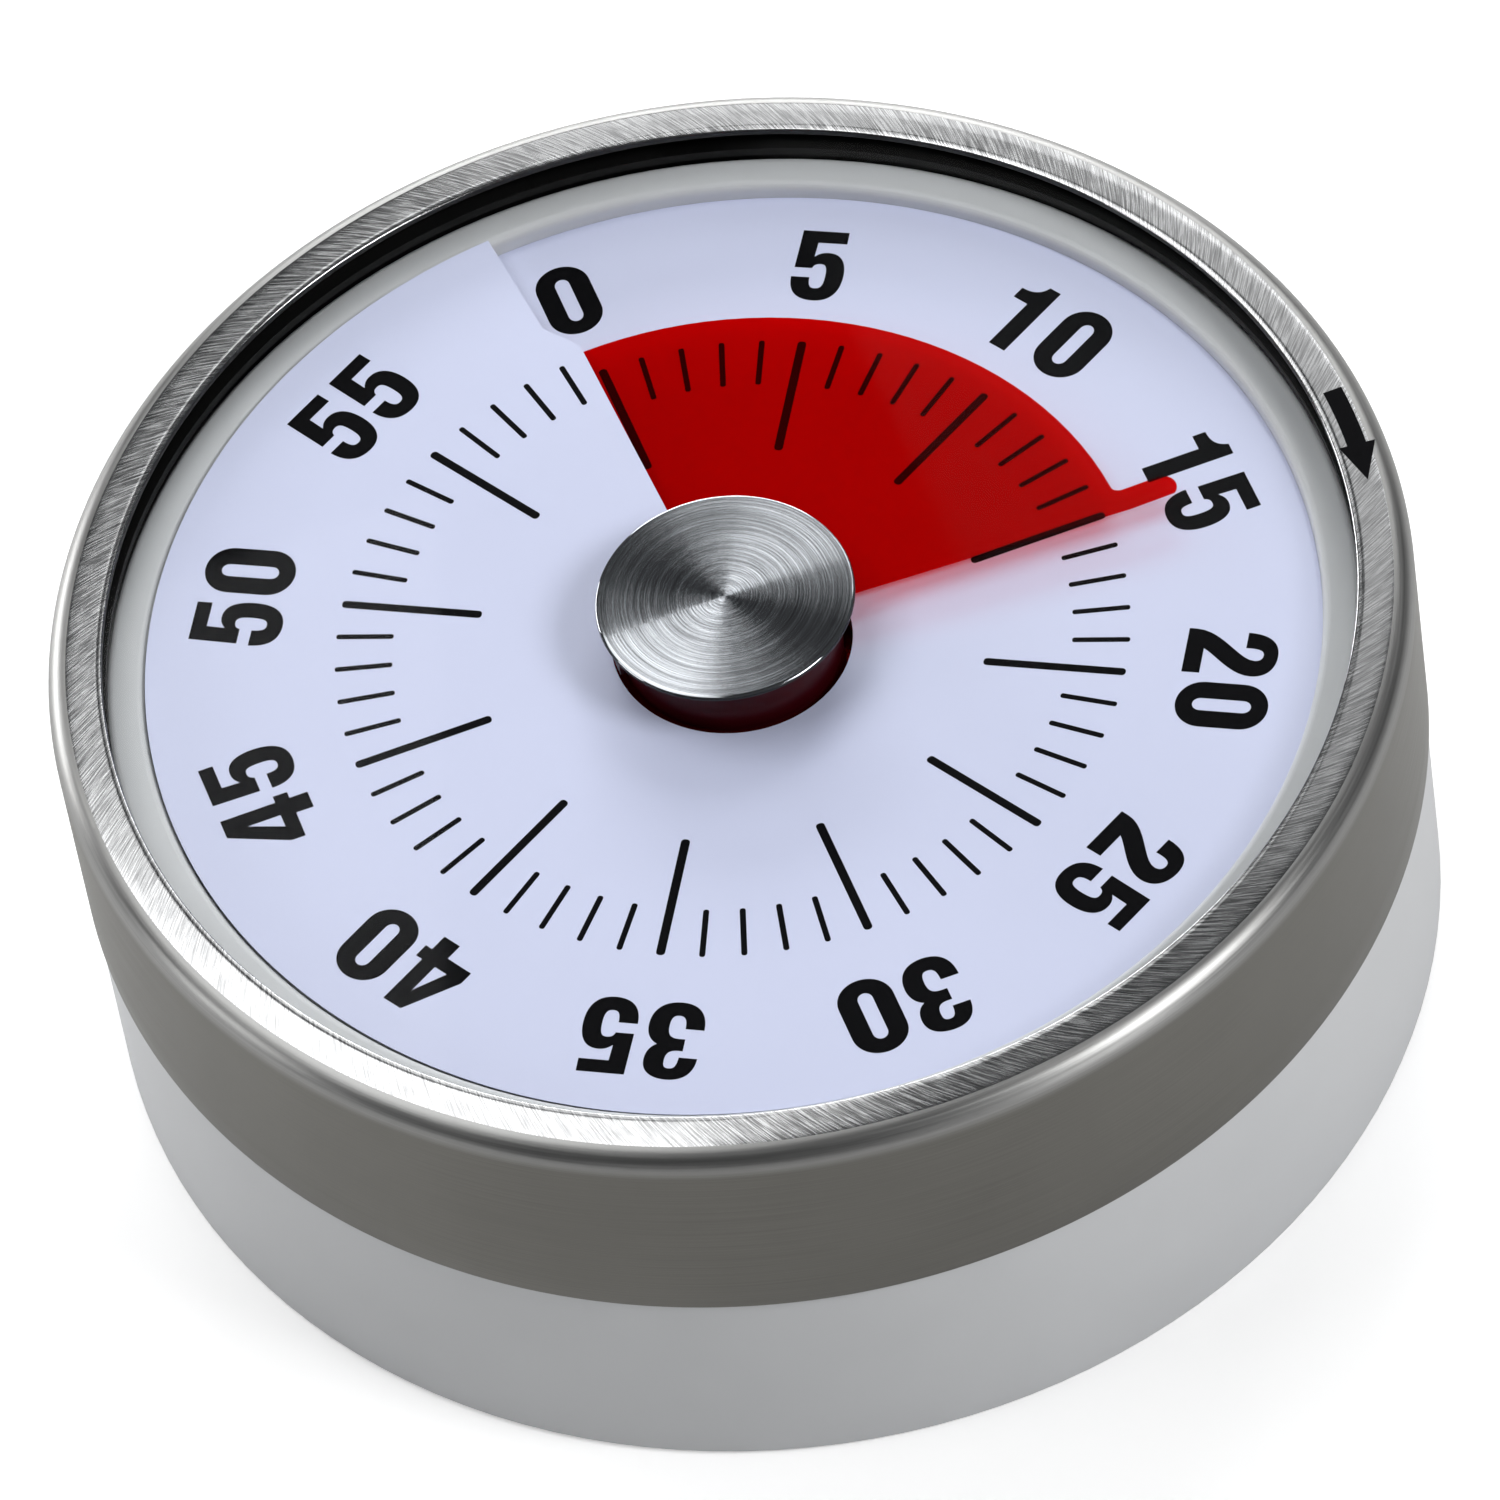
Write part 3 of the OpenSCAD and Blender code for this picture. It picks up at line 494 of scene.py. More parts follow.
def ring_wall_steel():
    """Steel of the ring's wall and rounded edge, brushed round the axis, its colour darker than the rim's
    steel: painted shade, darker towards the bottom.
    """
    f = Finish("shaded_brushed_steel_wall")
    angle, _, z = f.polar()
    along = f.math("MULTIPLY", angle, RING_HIGH.x)
    fine = scratches(f, along, z, slant=0, streak=14 * MM, width=0.09 * MM)
    cloud = f.grain(160, detail=3)
    steel = f.edge_blend(z, colours().wall, colours().edge)
    f.set(
        base_color=f.tinted(f.blend(fine, cloud, 0.8), steel, 0.84, 1.16),
        metallic=1.0,
        roughness=f.spread(fine, 0.32, 0.44),
        normal=f.bump(fine, strength=0.5, distance=0.01 * MM),
    )
    round_the_axis(f, strength=0.5, rotation=0.25)
    return f.material


def ring_rim_steel():
    """Steel of the flat rim: brushed at a slant, with scratches lighter than a darker ground, partly grain
    and partly painted glints.
    """
    f = Finish("brushed_steel_rim")
    angle, radius, _ = f.polar()
    along = f.math("MULTIPLY", angle, RING_HIGH.x)
    slant = math.radians(46)
    coarse = scratches(f, along, radius, slant, streak=2.4 * MM, width=0.09 * MM)
    fine = scratches(f, along, radius, slant, streak=1.4 * MM, width=0.05 * MM)
    cloud = f.grain(400, detail=3)
    scratch_glints = f.math("POWER", f.math("MULTIPLY", coarse, 1.6), 3.0)
    both = f.blend(scratch_glints, fine, 0.6)
    patchy = f.math("MULTIPLY", both, f.spread(cloud, 0.8, 1.2))
    f.set(
        # The lighter scratches in the colour are partly grain and partly painted glints.
        base_color=f.tinted(patchy, colours().rim, 0.62, 1.45),
        metallic=1.0,
        roughness=f.spread(both, 0.09, 0.14),
        normal=f.bump(coarse, strength=1.0, distance=0.002 * MM),
    )
    round_the_axis(f, strength=0.75, rotation=0.122)
    return f.material


def turned_steel():
    """Steel faced on a lathe: fine rings round the middle."""
    f = Finish("turned_steel")
    angle, radius, z = f.polar()
    fine_ring = f.vector(f.math("MULTIPLY", angle, 0.6), f.math("DIVIDE", radius, 0.1 * MM), z)
    broad_ring = f.vector(f.math("MULTIPLY", angle, 0.5), f.math("DIVIDE", radius, 0.5 * MM), z)
    fine = f.noise(fine_ring, detail=3)
    broad = f.noise(broad_ring, detail=2)
    both = f.blend(fine, broad, 0.65)
    f.set(
        base_color=f.tinted(both, colours().cap, 0.35, 1.65),
        metallic=1.0,
        roughness=f.spread(fine, 0.08, 0.11),
        normal=f.bump(both, strength=1.0, distance=0.009 * MM),
    )
    round_the_axis(f, strength=1.0, rotation=0.25)
    return f.material


def moulded(name, base, roughness, texture, shine=0.5):
    """Moulded plastic with a faint flow pattern and a fine skin."""
    f = Finish(name)
    flow = f.grain(90, detail=2)
    skin = f.grain(6000, detail=2)
    f.set(
        base_color=f.tinted(flow, base, 0.97, 1.03),
        roughness=f.spread(flow, roughness - 0.04, roughness + 0.04),
        normal=f.bump(skin, strength=texture, distance=0.01 * MM),
    )
    f.put(f.shader, "Specular IOR Level", shine)
    return f.material


def white_plastic():
    return moulded("white_plastic", colours().white, roughness=0.38, texture=0.25)


def black_plastic():
    return moulded("black_plastic", colours().black, roughness=0.45, texture=0.3, shine=0.15)


def hub_plastic():
    # The hub's near-black red is painted shade on the leaf's red plastic.
    return moulded("shaded_red_plastic", colours().hub, roughness=0.35, texture=0.15, shine=0.15)


def dial_film():
    """White printed film, faintly uneven."""
    f = Finish("dial_film")
    cloud = f.grain(60, detail=3)
    fibre = f.grain(5000, detail=2)
    f.set(
        base_color=f.tinted(cloud, colours().dial, 0.985, 1.015),
        roughness=f.spread(fibre, 0.45, 0.55),
        normal=f.bump(fibre, strength=0.08, distance=0.005 * MM),
    )
    return f.material


def print_ink():
    """Screen-printed black, a little uneven in gloss, made once for all the print."""
    made = bpy.data.materials.get("print_ink")
    if made:
        return made
    f = Finish("print_ink")
    spots = f.grain(2500, detail=3)
    f.set(
        base_color=f.tinted(spots, colours().ink, 0.7, 1.3),
        roughness=f.spread(spots, 0.4, 0.6),
        normal=f.bump(spots, strength=0.1, distance=0.005 * MM),
    )
    f.put(f.shader, "Specular IOR Level", 0.03)
    return f.material


def red_film():
    """See-through red film: most light passes, tinted, and some is scattered by the pigment."""
    f = Finish("red_film")
    cloud = f.grain(70, detail=2)
    f.set(
        base_color=f.tinted(cloud, colours().leaf, 0.94, 1.06),
        roughness=f.spread(cloud, 0.4, 0.46),
    )
    f.put(f.shader, "Specular IOR Level", 0.03)
    clear = f.add("ShaderNodeBsdfTransparent", {"Color": f.tinted(cloud, colours().film, 0.98, 1.0)})
    pigment_share = 0.03
    f.surface(f.add("ShaderNodeMixShader", {0: pigment_share, 1: clear.outputs[0], 2: f.shader.outputs[0]}))
    return f.material


def clear_lens():
    """Clear plastic: light goes straight through, and the outer face, a little out of level, shines."""
    f = Finish("clear_lens")
    wave = f.grain(40, detail=1)
    x, y, _ = f.add("ShaderNodeSeparateXYZ", {0: f.place()}).outputs
    lean = f.math("MULTIPLY", f.math("SUBTRACT", y, x), 0.02)
    clear = f.add("ShaderNodeBsdfTransparent", {"Color": (0.985, 0.99, 0.99, 1)})
    blur = f.spread(wave, 0.02, 0.04)
    tilt = f.bump(lean, strength=1.0, distance=1.0)
    gloss = f.add("ShaderNodeBsdfGlossy", {"Color": (1, 1, 1, 1), "Roughness": blur, "Normal": tilt})
    edge = f.add("ShaderNodeFresnel", {"IOR": 1.14}).outputs[0]
    inside = f.add("ShaderNodeNewGeometry").outputs["Backfacing"]
    share = f.math("MULTIPLY", edge, f.math("SUBTRACT", 1.0, inside))
    f.surface(f.add("ShaderNodeMixShader", {0: share, 1: clear.outputs[0], 2: gloss.outputs[0]}))
    f.tree.nodes.remove(f.shader)
    return f.material


def worked_metal(name, base, roughness, streak):
    """Plain metal with rolling marks and faint spots."""
    f = Finish(name)
    marks = f.noise(f.stretched((streak, streak * 12, streak * 4)), detail=4)
    spots = f.grain(220, detail=3)
    f.set(
        base_color=f.tinted(spots, base, 0.86, 1.12),
        metallic=1.0,
        roughness=f.spread(marks, roughness - 0.07, roughness + 0.09),
        normal=f.bump(marks, strength=0.2, distance=0.004 * MM),
    )
    return f.material


# The figures of the dial, in millimetres from the foot of the figure

FIGURES = {
    "0": [
        [
            (0, 1.6), (0, 3.85), (0, 4.75, 0.73, 5.45, 1.66, 5.45), (2.59, 5.45, 3.32, 4.75, 3.32, 3.85),
            (3.32, 1.6), (3.32, 0.7, 2.59, 0, 1.66, 0), (0.73, 0, 0, 0.7, 0, 1.6),
        ],
        [
            (1.21, 1.5), (1.21, 3.95), (1.21, 4.23, 1.41, 4.45, 1.66, 4.45),
            (1.91, 4.45, 2.11, 4.23, 2.11, 3.95), (2.11, 1.5), (2.11, 1.22, 1.91, 1.0, 1.66, 1.0),
            (1.41, 1.0, 1.21, 1.22, 1.21, 1.5),
        ],
    ],
    "1": [
        [
            (1.05, 0), (2.22, 0), (2.22, 5.35), (1.42, 5.35), (1.28, 4.78, 0.9, 4.43, 0, 4.43),
            (0, 3.6), (1.05, 3.6),
        ],
    ],
    "2": [
        [
            (0, 0), (3.25, 0), (3.25, 1.05), (1.42, 1.05), (1.85, 1.8, 3.25, 2.85, 3.25, 4.05),
            (3.25, 4.95, 2.6, 5.45, 1.65, 5.45), (0.65, 5.45, 0.03, 4.85, 0.03, 3.5), (1.18, 3.5),
            (1.15, 4.2, 1.25, 4.6, 1.62, 4.6), (1.95, 4.6, 2.08, 4.4, 2.08, 4.1),
            (2.08, 3.2, 0, 1.95, 0, 0.45),
        ],
    ],
    "3": [
        [
            (0.05, 3.88), (0.08, 4.95, 0.65, 5.5, 1.6, 5.5), (2.6, 5.5, 3.12, 4.98, 3.12, 4.23),
            (3.12, 3.68, 2.95, 3.28, 2.55, 3.05), (3.05, 2.8, 3.25, 2.3, 3.25, 1.72),
            (3.25, 0.6, 2.6, 0, 1.6, 0), (0.6, 0, 0, 0.6, 0, 1.85), (1.1, 1.85),
            (1.1, 1.2, 1.25, 0.95, 1.6, 0.95), (1.92, 0.95, 2.05, 1.15, 2.05, 1.72),
            (2.05, 2.36, 1.85, 2.58, 1.3, 2.58), (0.98, 2.58), (0.98, 3.42), (1.25, 3.42),
            (1.75, 3.42, 1.95, 3.64, 1.95, 4.18), (1.95, 4.57, 1.85, 4.7, 1.58, 4.7),
            (1.28, 4.7, 1.15, 4.52, 1.13, 3.88),
        ],
    ],
    "4": [
        [
            (1.8, 0), (2.98, 0), (2.98, 1.1), (3.45, 1.1), (3.45, 1.98), (2.98, 1.98), (2.98, 5.38),
            (1.68, 5.38), (0, 1.98), (0, 1.1), (1.8, 1.08),
        ],
        [(2.0, 4.0), (2.0, 1.98), (1.1, 1.98)],
    ],
    "5": [
        [
            (0.15, 5.4), (2.95, 5.4), (2.95, 4.5), (1.2, 4.5), (1.15, 3.4),
            (1.4, 3.65, 1.65, 3.75, 1.95, 3.75),
            (2.75, 3.75, 3.15, 3.1, 3.15, 2.0), (3.15, 0.7, 2.6, 0, 1.6, 0), (0.55, 0, 0, 0.6, 0, 1.78),
            (1.12, 1.78), (1.12, 1.15, 1.25, 0.95, 1.58, 0.95), (1.92, 0.95, 2.05, 1.2, 2.05, 1.95),
            (2.05, 2.65, 1.92, 2.85, 1.62, 2.85), (1.35, 2.85, 1.22, 2.75, 1.15, 2.5), (0.08, 2.5),
        ],
    ],
}
FIGURE_WIDTHS = {"0": 3.32, "1": 3.0, "2": 3.25, "3": 3.25, "4": 3.45, "5": 3.15}


# Operators


class TIMER_OT_steel_ring(bpy.types.Operator):
    """Models the steel ring: a spun sheet with a flat rim, a rounded edge and a straight wall"""

    bl_idname = "timer.steel_ring"
    bl_label = "Steel ring"

    def execute(self, context):
        s = sizes()
        outer, low, high = RING_HIGH.x, RING_LOW.z, RING_HIGH.z
        inner, rim = outer - s.sheet, outer - s.rim_width
        cut, bend = s.cut_round, s.edge_round
        under = high - s.sheet
        profile = (
            arc(outer - cut, low + cut, cut, -90, 0, CUT_STEPS)
            + [(outer, 0, low + (high - bend - low) * i / WALL_ROWS) for i in range(1, WALL_ROWS)]
            + arc(outer - bend, high - bend, bend, 0, 90, BEND_STEPS)
            + [(rim + (outer - bend - rim) * i / RIM_ROWS, 0, high) for i in reversed(range(1, RIM_ROWS))]
            + arc(rim + cut, high - cut, cut, 90, 180, CUT_STEPS)
            + arc(rim + cut, under + cut, cut, 180, 270, CUT_STEPS)
            + arc(outer - bend, high - bend, bend - s.sheet, 90, 0, BEND_STEPS // 2)
            + arc(inner + cut, low + cut, cut, 180, 270, CUT_STEPS)
        )
        ring = spun("ring_shell", profile + profile[:1], SHELL_STEPS)
        ring.data.materials.append(ring_wall_steel())
        ring.data.materials.append(ring_rim_steel())
        ring.data.materials.append(worked_metal("shaded_cut_steel", colours().cut, roughness=0.4, streak=600))
        # The rounding of the inner edge is rim where it looks up; below that, and under the ring, the steel
        # is near-black: painted shade
        for face in ring.data.polygons:
            inside = face.center.xy.length < rim + cut
            if face.normal.z < (INNER_ROUNDING if inside else RING_UNDERSIDE):
                face.material_index = 2
            elif inside or face.normal.z > LEVEL_RIM:
                face.material_index = 1
        smooth(ring)
        place(ring, "winder", "ring_steel", "steel_ring")
        return {"FINISHED"}


class TIMER_OT_knob_cap(bpy.types.Operator):
    """Models the knob cap: a steel disc with turned grooves and a rounded edge"""

    bl_idname = "timer.knob_cap"
    bl_label = "Knob cap"

    def execute(self, context):
        s = sizes()
        outer, high = CAP_HIGH.x, CAP_HIGH.z
        low = high - s.cap_sheet
        edge = s.cap_round
        grooves = int((outer - edge) / s.groove_pitch)
        top = []
        for i in range(2 * grooves):
            radius = (outer - edge) * (1 - (i + 1) / (2 * grooves))
            top.append((radius, 0, high - (s.groove_depth if i % 2 == 0 else 0)))
        profile = (
            [(0, 0, CAP_LOW.z), (s.cap_spigot, 0, CAP_LOW.z), (s.cap_spigot, 0, low)]
            + [(s.cap_flat, 0, low), (outer, 0, high - s.cap_edge)]
            + arc(outer - edge, high - edge, edge, 0, 90, CAP_EDGE_STEPS)
            + top
        )
        cap = spun("turned_cap", profile, CAP_STEPS)
        cap.data.materials.append(turned_steel())
        cap.data.materials.append(
            worked_metal("shaded_cap_edge_steel", colours().cut, roughness=0.35, streak=600)
        )
        # Only the top is turned; the side and the underside get near-black steel: painted shade
        for face in cap.data.polygons:
            if face.normal.z < CAP_TOP:
                face.material_index = 1
        smooth(cap)
        place(cap, "winder", "cap_steel", "knob_cap")
        return {"FINISHED"}


class TIMER_OT_dial(bpy.types.Operator):
    """Models the dial: a film that climbs once round the axis, with a stepped slit at 0 minutes"""

    bl_idname = "timer.dial"
    bl_label = "Dial"

    def execute(self, context):
        s = sizes()
        whole = math.tau - 2 * s.slit_half
        # The height grows evenly with the angle, and the slit's outer stretch starts lowest
        climb = DIAL_HIGH.z - DIAL_LOW.z - s.film
        rise = climb / (whole + s.jog_angle - s.slit_angle)
        start = s.jog_angle - s.slit_half
        line = []
        for radius, angle in (
            (s.dial_hole, s.slit_angle),
            (s.jog_inner, s.slit_angle),
            (s.jog_outer, s.jog_angle),
            (DIAL_HIGH.y + s.dial_reach, s.jog_angle),
        ):
            from_noon = angle - s.slit_half
            z = DIAL_LOW.z + s.film / 2 + rise * (start - from_noon)
            line.append((-radius * math.sin(from_noon), radius * math.cos(from_noon), z))
        dial = drawn_line("dial_sheet", line)
        apply_modifier(
            dial, "Climb", "SCREW", axis="Z", angle=-whole, screw_offset=rise * whole,
            steps=DIAL_STEPS, render_steps=DIAL_STEPS, use_smooth_shade=True,
        )
        face_up(dial)
        apply_modifier(dial, "Film", "SOLIDIFY", thickness=s.film, offset=0)
        smooth(dial)
        dial.data.materials.append(dial_film())
        place(dial, "base", "dial_card", "dial")
        return {"FINISHED"}


class TIMER_OT_ticks(bpy.types.Operator):
    """Models the printed minute ticks and the longer five-minute ticks"""

    bl_idname = "timer.ticks"
    bl_label = "Ticks"

    def tick(self, name, width, inner, outer, minutes):
        """One tick with rounded corners, above the dial."""
        deselect()
        bpy.ops.mesh.primitive_plane_add(size=1, location=(0, (inner + outer) / 2, 0))
        tick = take(name)
        tick.scale = (width, outer - inner, 1)
        settle(tick)
        edit_all(tick)
        bpy.ops.mesh.subdivide(number_cuts=1)
        # Only the four corners are rounded
        pick(tick, "VERT", lambda v: abs(v.co.x) > width * 0.4 and not inner * 1.01 < v.co.y < outer * 0.99)
        bpy.ops.mesh.bevel(affect="VERTICES", offset=width * TICK_ROUNDING, segments=4)
        bpy.ops.object.mode_set(mode="OBJECT")
        tick.rotation_euler.z = -math.radians(DEGREES_PER_MINUTE * minutes)
        tick.location.z = RING_HIGH.z
        settle(tick)
        return tick

    def repeat(self, tick, count, minutes):
        """Copies the print round the dial."""
        edit_all(tick)
        bpy.ops.mesh.spin(
            steps=count - 1, dupli=True, center=(0, 0, 0), axis=(0, 0, 1),
            angle=math.radians(DEGREES_PER_MINUTE * minutes * (count - 1)),
        )
        bpy.ops.object.mode_set(mode="OBJECT")

    def execute(self, context):
        s = sizes()
        ground = bpy.data.objects["dial_sheet"]
        short = self.tick("minute_ticks", s.tick_width, s.tick_inner, s.tick_outer, 1)
        self.repeat(short, 4, 1)
        self.repeat(short, 12, 5)
        wide = self.tick("five_minute_ticks", s.long_width, s.long_inner, s.tick_outer, 0)
        self.repeat(wide, 12, 5)
        for ticks in (short, wide):
            drape(ticks, ground)
            ticks.data.materials.append(print_ink())
            place(ticks, "base", "dial_card")
        return {"FINISHED"}


class TIMER_OT_numbers(bpy.types.Operator):
    """Models the printed numbers from 0 to 55"""

    bl_idname = "timer.numbers"
    bl_label = "Numbers"

    def number(self, minutes):
        """One number, turned to its minute, above the dial."""
        s = sizes()
        text = str(minutes)
        widths = [FIGURE_WIDTHS[figure] * MM for figure in text]
        left = -(sum(widths) + s.number_gap * (len(text) - 1)) / 2
        contours = []
        for figure, width in zip(text, widths):
            contours += [outline(path, left, s.number_radius) for path in FIGURES[figure]]
            left += width + s.number_gap
        number = flat_shape(f"number_{minutes}", contours, RING_HIGH.z)
        number.rotation_euler.z = -math.radians(DEGREES_PER_MINUTE * minutes)
        settle(number)
        return number

    def execute(self, context):
        numbers = joined([self.number(minutes) for minutes in range(0, 60, 5)], "dial_numbers")
        drape(numbers, bpy.data.objects["dial_sheet"])
        numbers.data.materials.append(print_ink())
        place(numbers, "base", "dial_card")
        return {"FINISHED"}


class TIMER_OT_arrow(bpy.types.Operator):
    """Models the printed arrow that shows which way the ring is turned"""

    bl_idname = "timer.arrow"
    bl_label = "Arrow"

    tail: minute("Tail", "Minute at which the arrow starts", 14.87)
    neck: minute("Neck", "Minute at which the head starts", 15.98)
    tip: minute("Tip", "Minute at which the arrow ends", 16.68)

    def execute(self, context):
        s = sizes()

        def at(radius, minutes):
            angle = math.radians(DEGREES_PER_MINUTE * minutes)
            return radius * math.sin(angle), radius * math.cos(angle)

        def side(radius, start, end):
            return [at(radius, start + (end - start) * i / CURVE_STEPS) for i in range(CURVE_STEPS + 1)]

        middle = (s.arrow_shaft_in + s.arrow_shaft_out) / 2
        contour = (
            side(s.arrow_shaft_out, self.tail, self.neck)
            + [at(s.arrow_head_out, self.neck), at(middle, self.tip), at(s.arrow_head_in, self.neck)]
            + side(s.arrow_shaft_in, self.neck, self.tail)
        )
        arrow = flat_shape("turn_arrow", [contour], RING_HIGH.z + s.ink)
        face_up(arrow)
        apply_modifier(arrow, "Ink", "SOLIDIFY", thickness=2 * s.ink, offset=-1)
        arrow.data.materials.append(print_ink())
        place(arrow, "winder", "ring_steel")
        return {"FINISHED"}


class TIMER_OT_finishes(bpy.types.Operator):
    """Gives every solid of the timer its finish"""

    bl_idname = "timer.finishes"
    bl_label = "Finishes"

    def execute(self, context):
        c = colours()
        brass = worked_metal("rolled_brass", c.brass, roughness=0.3, streak=300)
        wheel_brass = worked_metal("wheel_brass", c.brass, roughness=0.24, streak=500)
        steel = worked_metal("bright_steel", c.bright_steel, roughness=0.28, streak=500)
        screws = worked_metal("screw_steel", c.bright_steel, roughness=0.34, streak=900)
        spring = worked_metal("blued_spring", c.blue_steel, roughness=0.3, streak=700)
        bell = worked_metal("bell_steel", c.bright_steel, roughness=0.2, streak=200)
        magnet = worked_metal("magnet_plating", c.magnet, roughness=0.22, streak=150)
        groups = {
            white_plastic(): ("base_housing", "dial_deck", "dial_seat"),
            black_plastic(): ("ring_liner",),
            clear_lens(): ("lens",),
            hub_plastic(): ("red_hub",),
            red_film(): ("red_leaf",),
            magnet: ("magnets",),
            screws: ("housing_screws", "pillar_screws", "movement_screws", "bell_screw", "hub_screw"),
            brass: (
                "front_plate", "back_plate", "plate_pillars", "arbor_bush", "clutch_washer", "balance_bar",
            ),
            wheel_brass: ("great_wheel", "second_wheel", "third_wheel", "escape_wheel"),
            spring: ("mainspring",),
            bell: ("bell",),
            steel: (
                "spring_post", "winding_arbor", "strike_cam", "second_pinion", "third_pinion",
                "escape_pinion", "verge_arbor", "verge", "hammer_arbor", "hammer",
            ),
        }
        for material, nodes in groups.items():
            for name in nodes:
                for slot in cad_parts[name].material_slots:
                    slot.material = material
        return {"FINISHED"}


class TIMER_OT_stage(bpy.types.Operator):
    """Sets up the floor, the lights, the world and the camera"""

    bl_idname = "timer.stage"
    bl_label = "Stage"

    def floor(self):
        """A pale floor that shows as white to the camera and keeps the timer's shadow."""
        deselect()
        bpy.ops.mesh.primitive_grid_add(
            x_subdivisions=4, y_subdivisions=4, size=FLOOR_WIDTH, location=(0, 0, 0),
        )
        floor = take("studio_floor")
        f = Finish("studio_floor")
        f.set(base_color=(0.86, 0.86, 0.86, 1), roughness=0.9)
        path = f.add("ShaderNodeLightPath")
        seen = f.math("MAXIMUM", path.outputs["Is Camera Ray"], path.outputs["Is Transmission Ray"])
        strength = f.math("MULTIPLY", seen, 0.4)
        lift = f.add("ShaderNodeEmission", {"Color": (1, 1, 1, 1), "Strength": strength})
        f.surface(f.add("ShaderNodeAddShader", {0: f.shader.outputs[0], 1: lift.outputs[0]}))
        floor.data.materials.append(f.material)

    def light(self, name, place, size, power):
        """A soft box that points at the timer."""
        lamp = bpy.data.lights.new(name, "AREA")
        lamp.shape = "RECTANGLE"
        lamp.size, lamp.size_y = size
        lamp.energy = power
        holder = bpy.data.objects.new(name, lamp)
        bpy.context.scene.collection.objects.link(holder)
        holder.location = place
        holder.rotation_euler = (LAMP_AIM - Vector(place)).to_track_quat("-Z", "Y").to_euler()
        holder.visible_camera = False

    def panel(self, name, strength, *corners):
        """A glowing sheet overhead, mirrored in the steel and not seen by the camera itself."""
        deselect()
        bpy.ops.mesh.primitive_plane_add(size=1, location=(0, 0, 0))
        sheet = take(name)
        for vertex, corner in zip(sheet.data.vertices, corners):
            vertex.co = (*corner, SHEET_HEIGHT)
        f = Finish(name)
        f.surface(f.add("ShaderNodeEmission", {"Color": (1, 1, 1, 1), "Strength": strength}))
        f.tree.nodes.remove(f.shader)
        sheet.data.materials.append(f.material)
        sheet.visible_camera = False
        sheet.visible_shadow = False

    def world(self):
        """A faint even light from all round."""
        world = bpy.data.worlds.new("studio")
        world.use_nodes = True
        ground = world.node_tree.nodes["Background"]
        ground.inputs["Color"].default_value = (0.95, 0.97, 1, 1)
        ground.inputs["Strength"].default_value = 0.07
        bpy.context.scene.world = world

    def camera(self):
        """Stands the camera where the photograph was taken from, with the photograph's tilt."""
        azimuth, elevation, roll = math.radians(-12.313), math.radians(51.352), math.radians(-9.583)
        target = Vector((-1.906 * MM, -8.524 * MM, 26.4 * MM))
        back = Vector((
            math.sin(azimuth) * math.cos(elevation),
            -math.cos(azimuth) * math.cos(elevation),
            math.sin(elevation),
        ))
        right = Vector((math.cos(azimuth), math.sin(azimuth), 0))
        up = back.cross(right)
        right, up = (
            math.cos(roll) * right + math.sin(roll) * up,
            math.cos(roll) * up - math.sin(roll) * right,
        )
        data = bpy.data.cameras.new("camera")
        data.sensor_width = SENSOR_WIDTH
        data.lens = FOCAL_PIXELS / PICTURE_PIXELS * SENSOR_WIDTH
        data.clip_start = 0.01
        camera = bpy.data.objects.new("camera", data)
        bpy.context.scene.collection.objects.link(camera)
        turn_to = Matrix((right, up, back)).transposed().to_4x4()
        camera.matrix_world = Matrix.Translation(target + back * CAMERA_DISTANCE) @ turn_to
        bpy.context.scene.camera = camera

    def execute(self, context):
        self.floor()
        self.panel("overhead_panel", 2.7, (-0.45, -0.05), (-0.072, -0.05), (-0.45, 0.445), (0.095, 0.455))
        self.panel("back_panel", 1.35, (0.1, 0.515), (0.45, 0.515), (0.1, 0.8), (0.45, 0.8))
        self.panel("right_panel", 0.8, (0.148, 0.403), (0.45, 0.403), (0.148, 0.505), (0.45, 0.505))
        self.light("back_right_box", place=(0.5, 0.7, 0.7), size=(0.4, 0.4), power=2.2)
        self.light("back_box", place=(0.25, 0.95, 0.35), size=(0.6, 0.2), power=4.3)
        self.light("front_right_box", place=(0.52, -0.48, 0.72), size=(0.35, 0.35), power=4.7)
        self.light("back_left_box", place=(-0.6, 0.9, 0.2), size=(0.5, 0.3), power=4.0)
        self.light("left_box", place=(-0.95, 0.15, 0.3), size=(0.4, 0.3), power=1.3)
        self.light("front_box", place=(0.5, -0.9, 0.2), size=(0.4, 0.3), power=1.2)
        self.world()
        self.camera()
        context.scene.view_settings.view_transform = "Standard"
        return {"FINISHED"}


class TIMER_PT_panel(bpy.types.Panel):
    """Lists the steps and the settings of the timer"""

    bl_idname = "TIMER_PT_panel"
    bl_label = "Kitchen timer"
    bl_space_type = "VIEW_3D"
    bl_region_type = "UI"
    bl_category = "Timer"

    def draw(self, context):
        for step in STEPS:
            self.layout.operator(step.bl_idname)
        for group in (context.scene.timer_sizes, context.scene.timer_colours):
            box = self.layout.box()
            for name in group.bl_rna.properties.keys():
                if name not in ("name", "rna_type"):
                    box.prop(group, name)


STEPS = (
    TIMER_OT_steel_ring,
    TIMER_OT_knob_cap,
    TIMER_OT_dial,
    TIMER_OT_ticks,
    TIMER_OT_numbers,
    TIMER_OT_arrow,
    TIMER_OT_finishes,
    TIMER_OT_stage,
)
CLASSES = (TimerSizes, TimerColours) + STEPS + (TIMER_PT_panel,)


def register():
    for cls in CLASSES:
        bpy.utils.register_class(cls)
    bpy.types.Scene.timer_sizes = bpy.props.PointerProperty(type=TimerSizes)
    bpy.types.Scene.timer_colours = bpy.props.PointerProperty(type=TimerColours)


def unregister():
    del bpy.types.Scene.timer_colours
    del bpy.types.Scene.timer_sizes
    for cls in reversed(CLASSES):
        bpy.utils.unregister_class(cls)


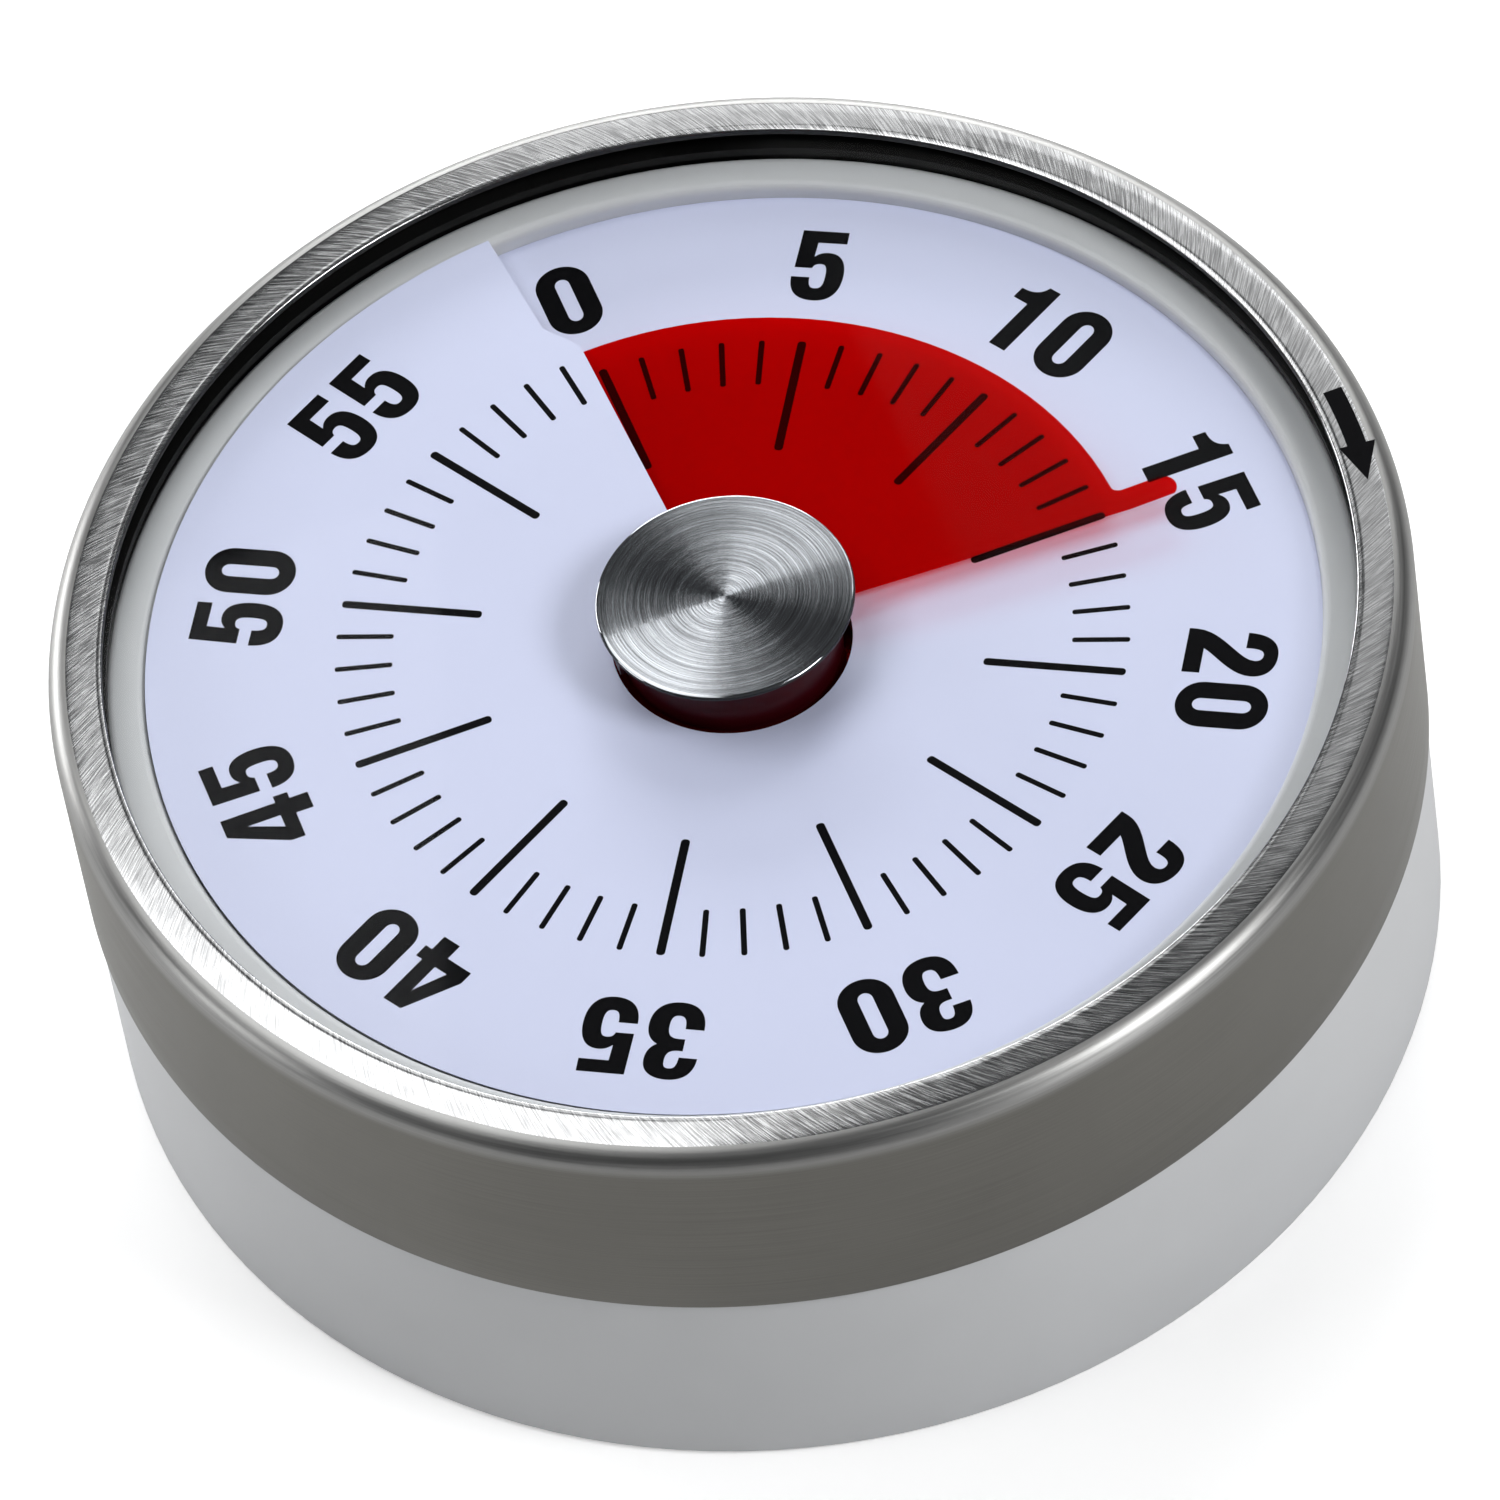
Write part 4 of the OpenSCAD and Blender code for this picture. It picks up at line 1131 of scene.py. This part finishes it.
def main():
    """Builds the dressed timer."""
    register()
    bpy.ops.timer.steel_ring()
    bpy.ops.timer.knob_cap()
    bpy.ops.timer.dial()
    bpy.ops.timer.ticks()
    bpy.ops.timer.numbers()
    bpy.ops.timer.arrow()
    bpy.ops.timer.finishes()
    bpy.ops.timer.stage()


if __name__ == "__main__":
    main()
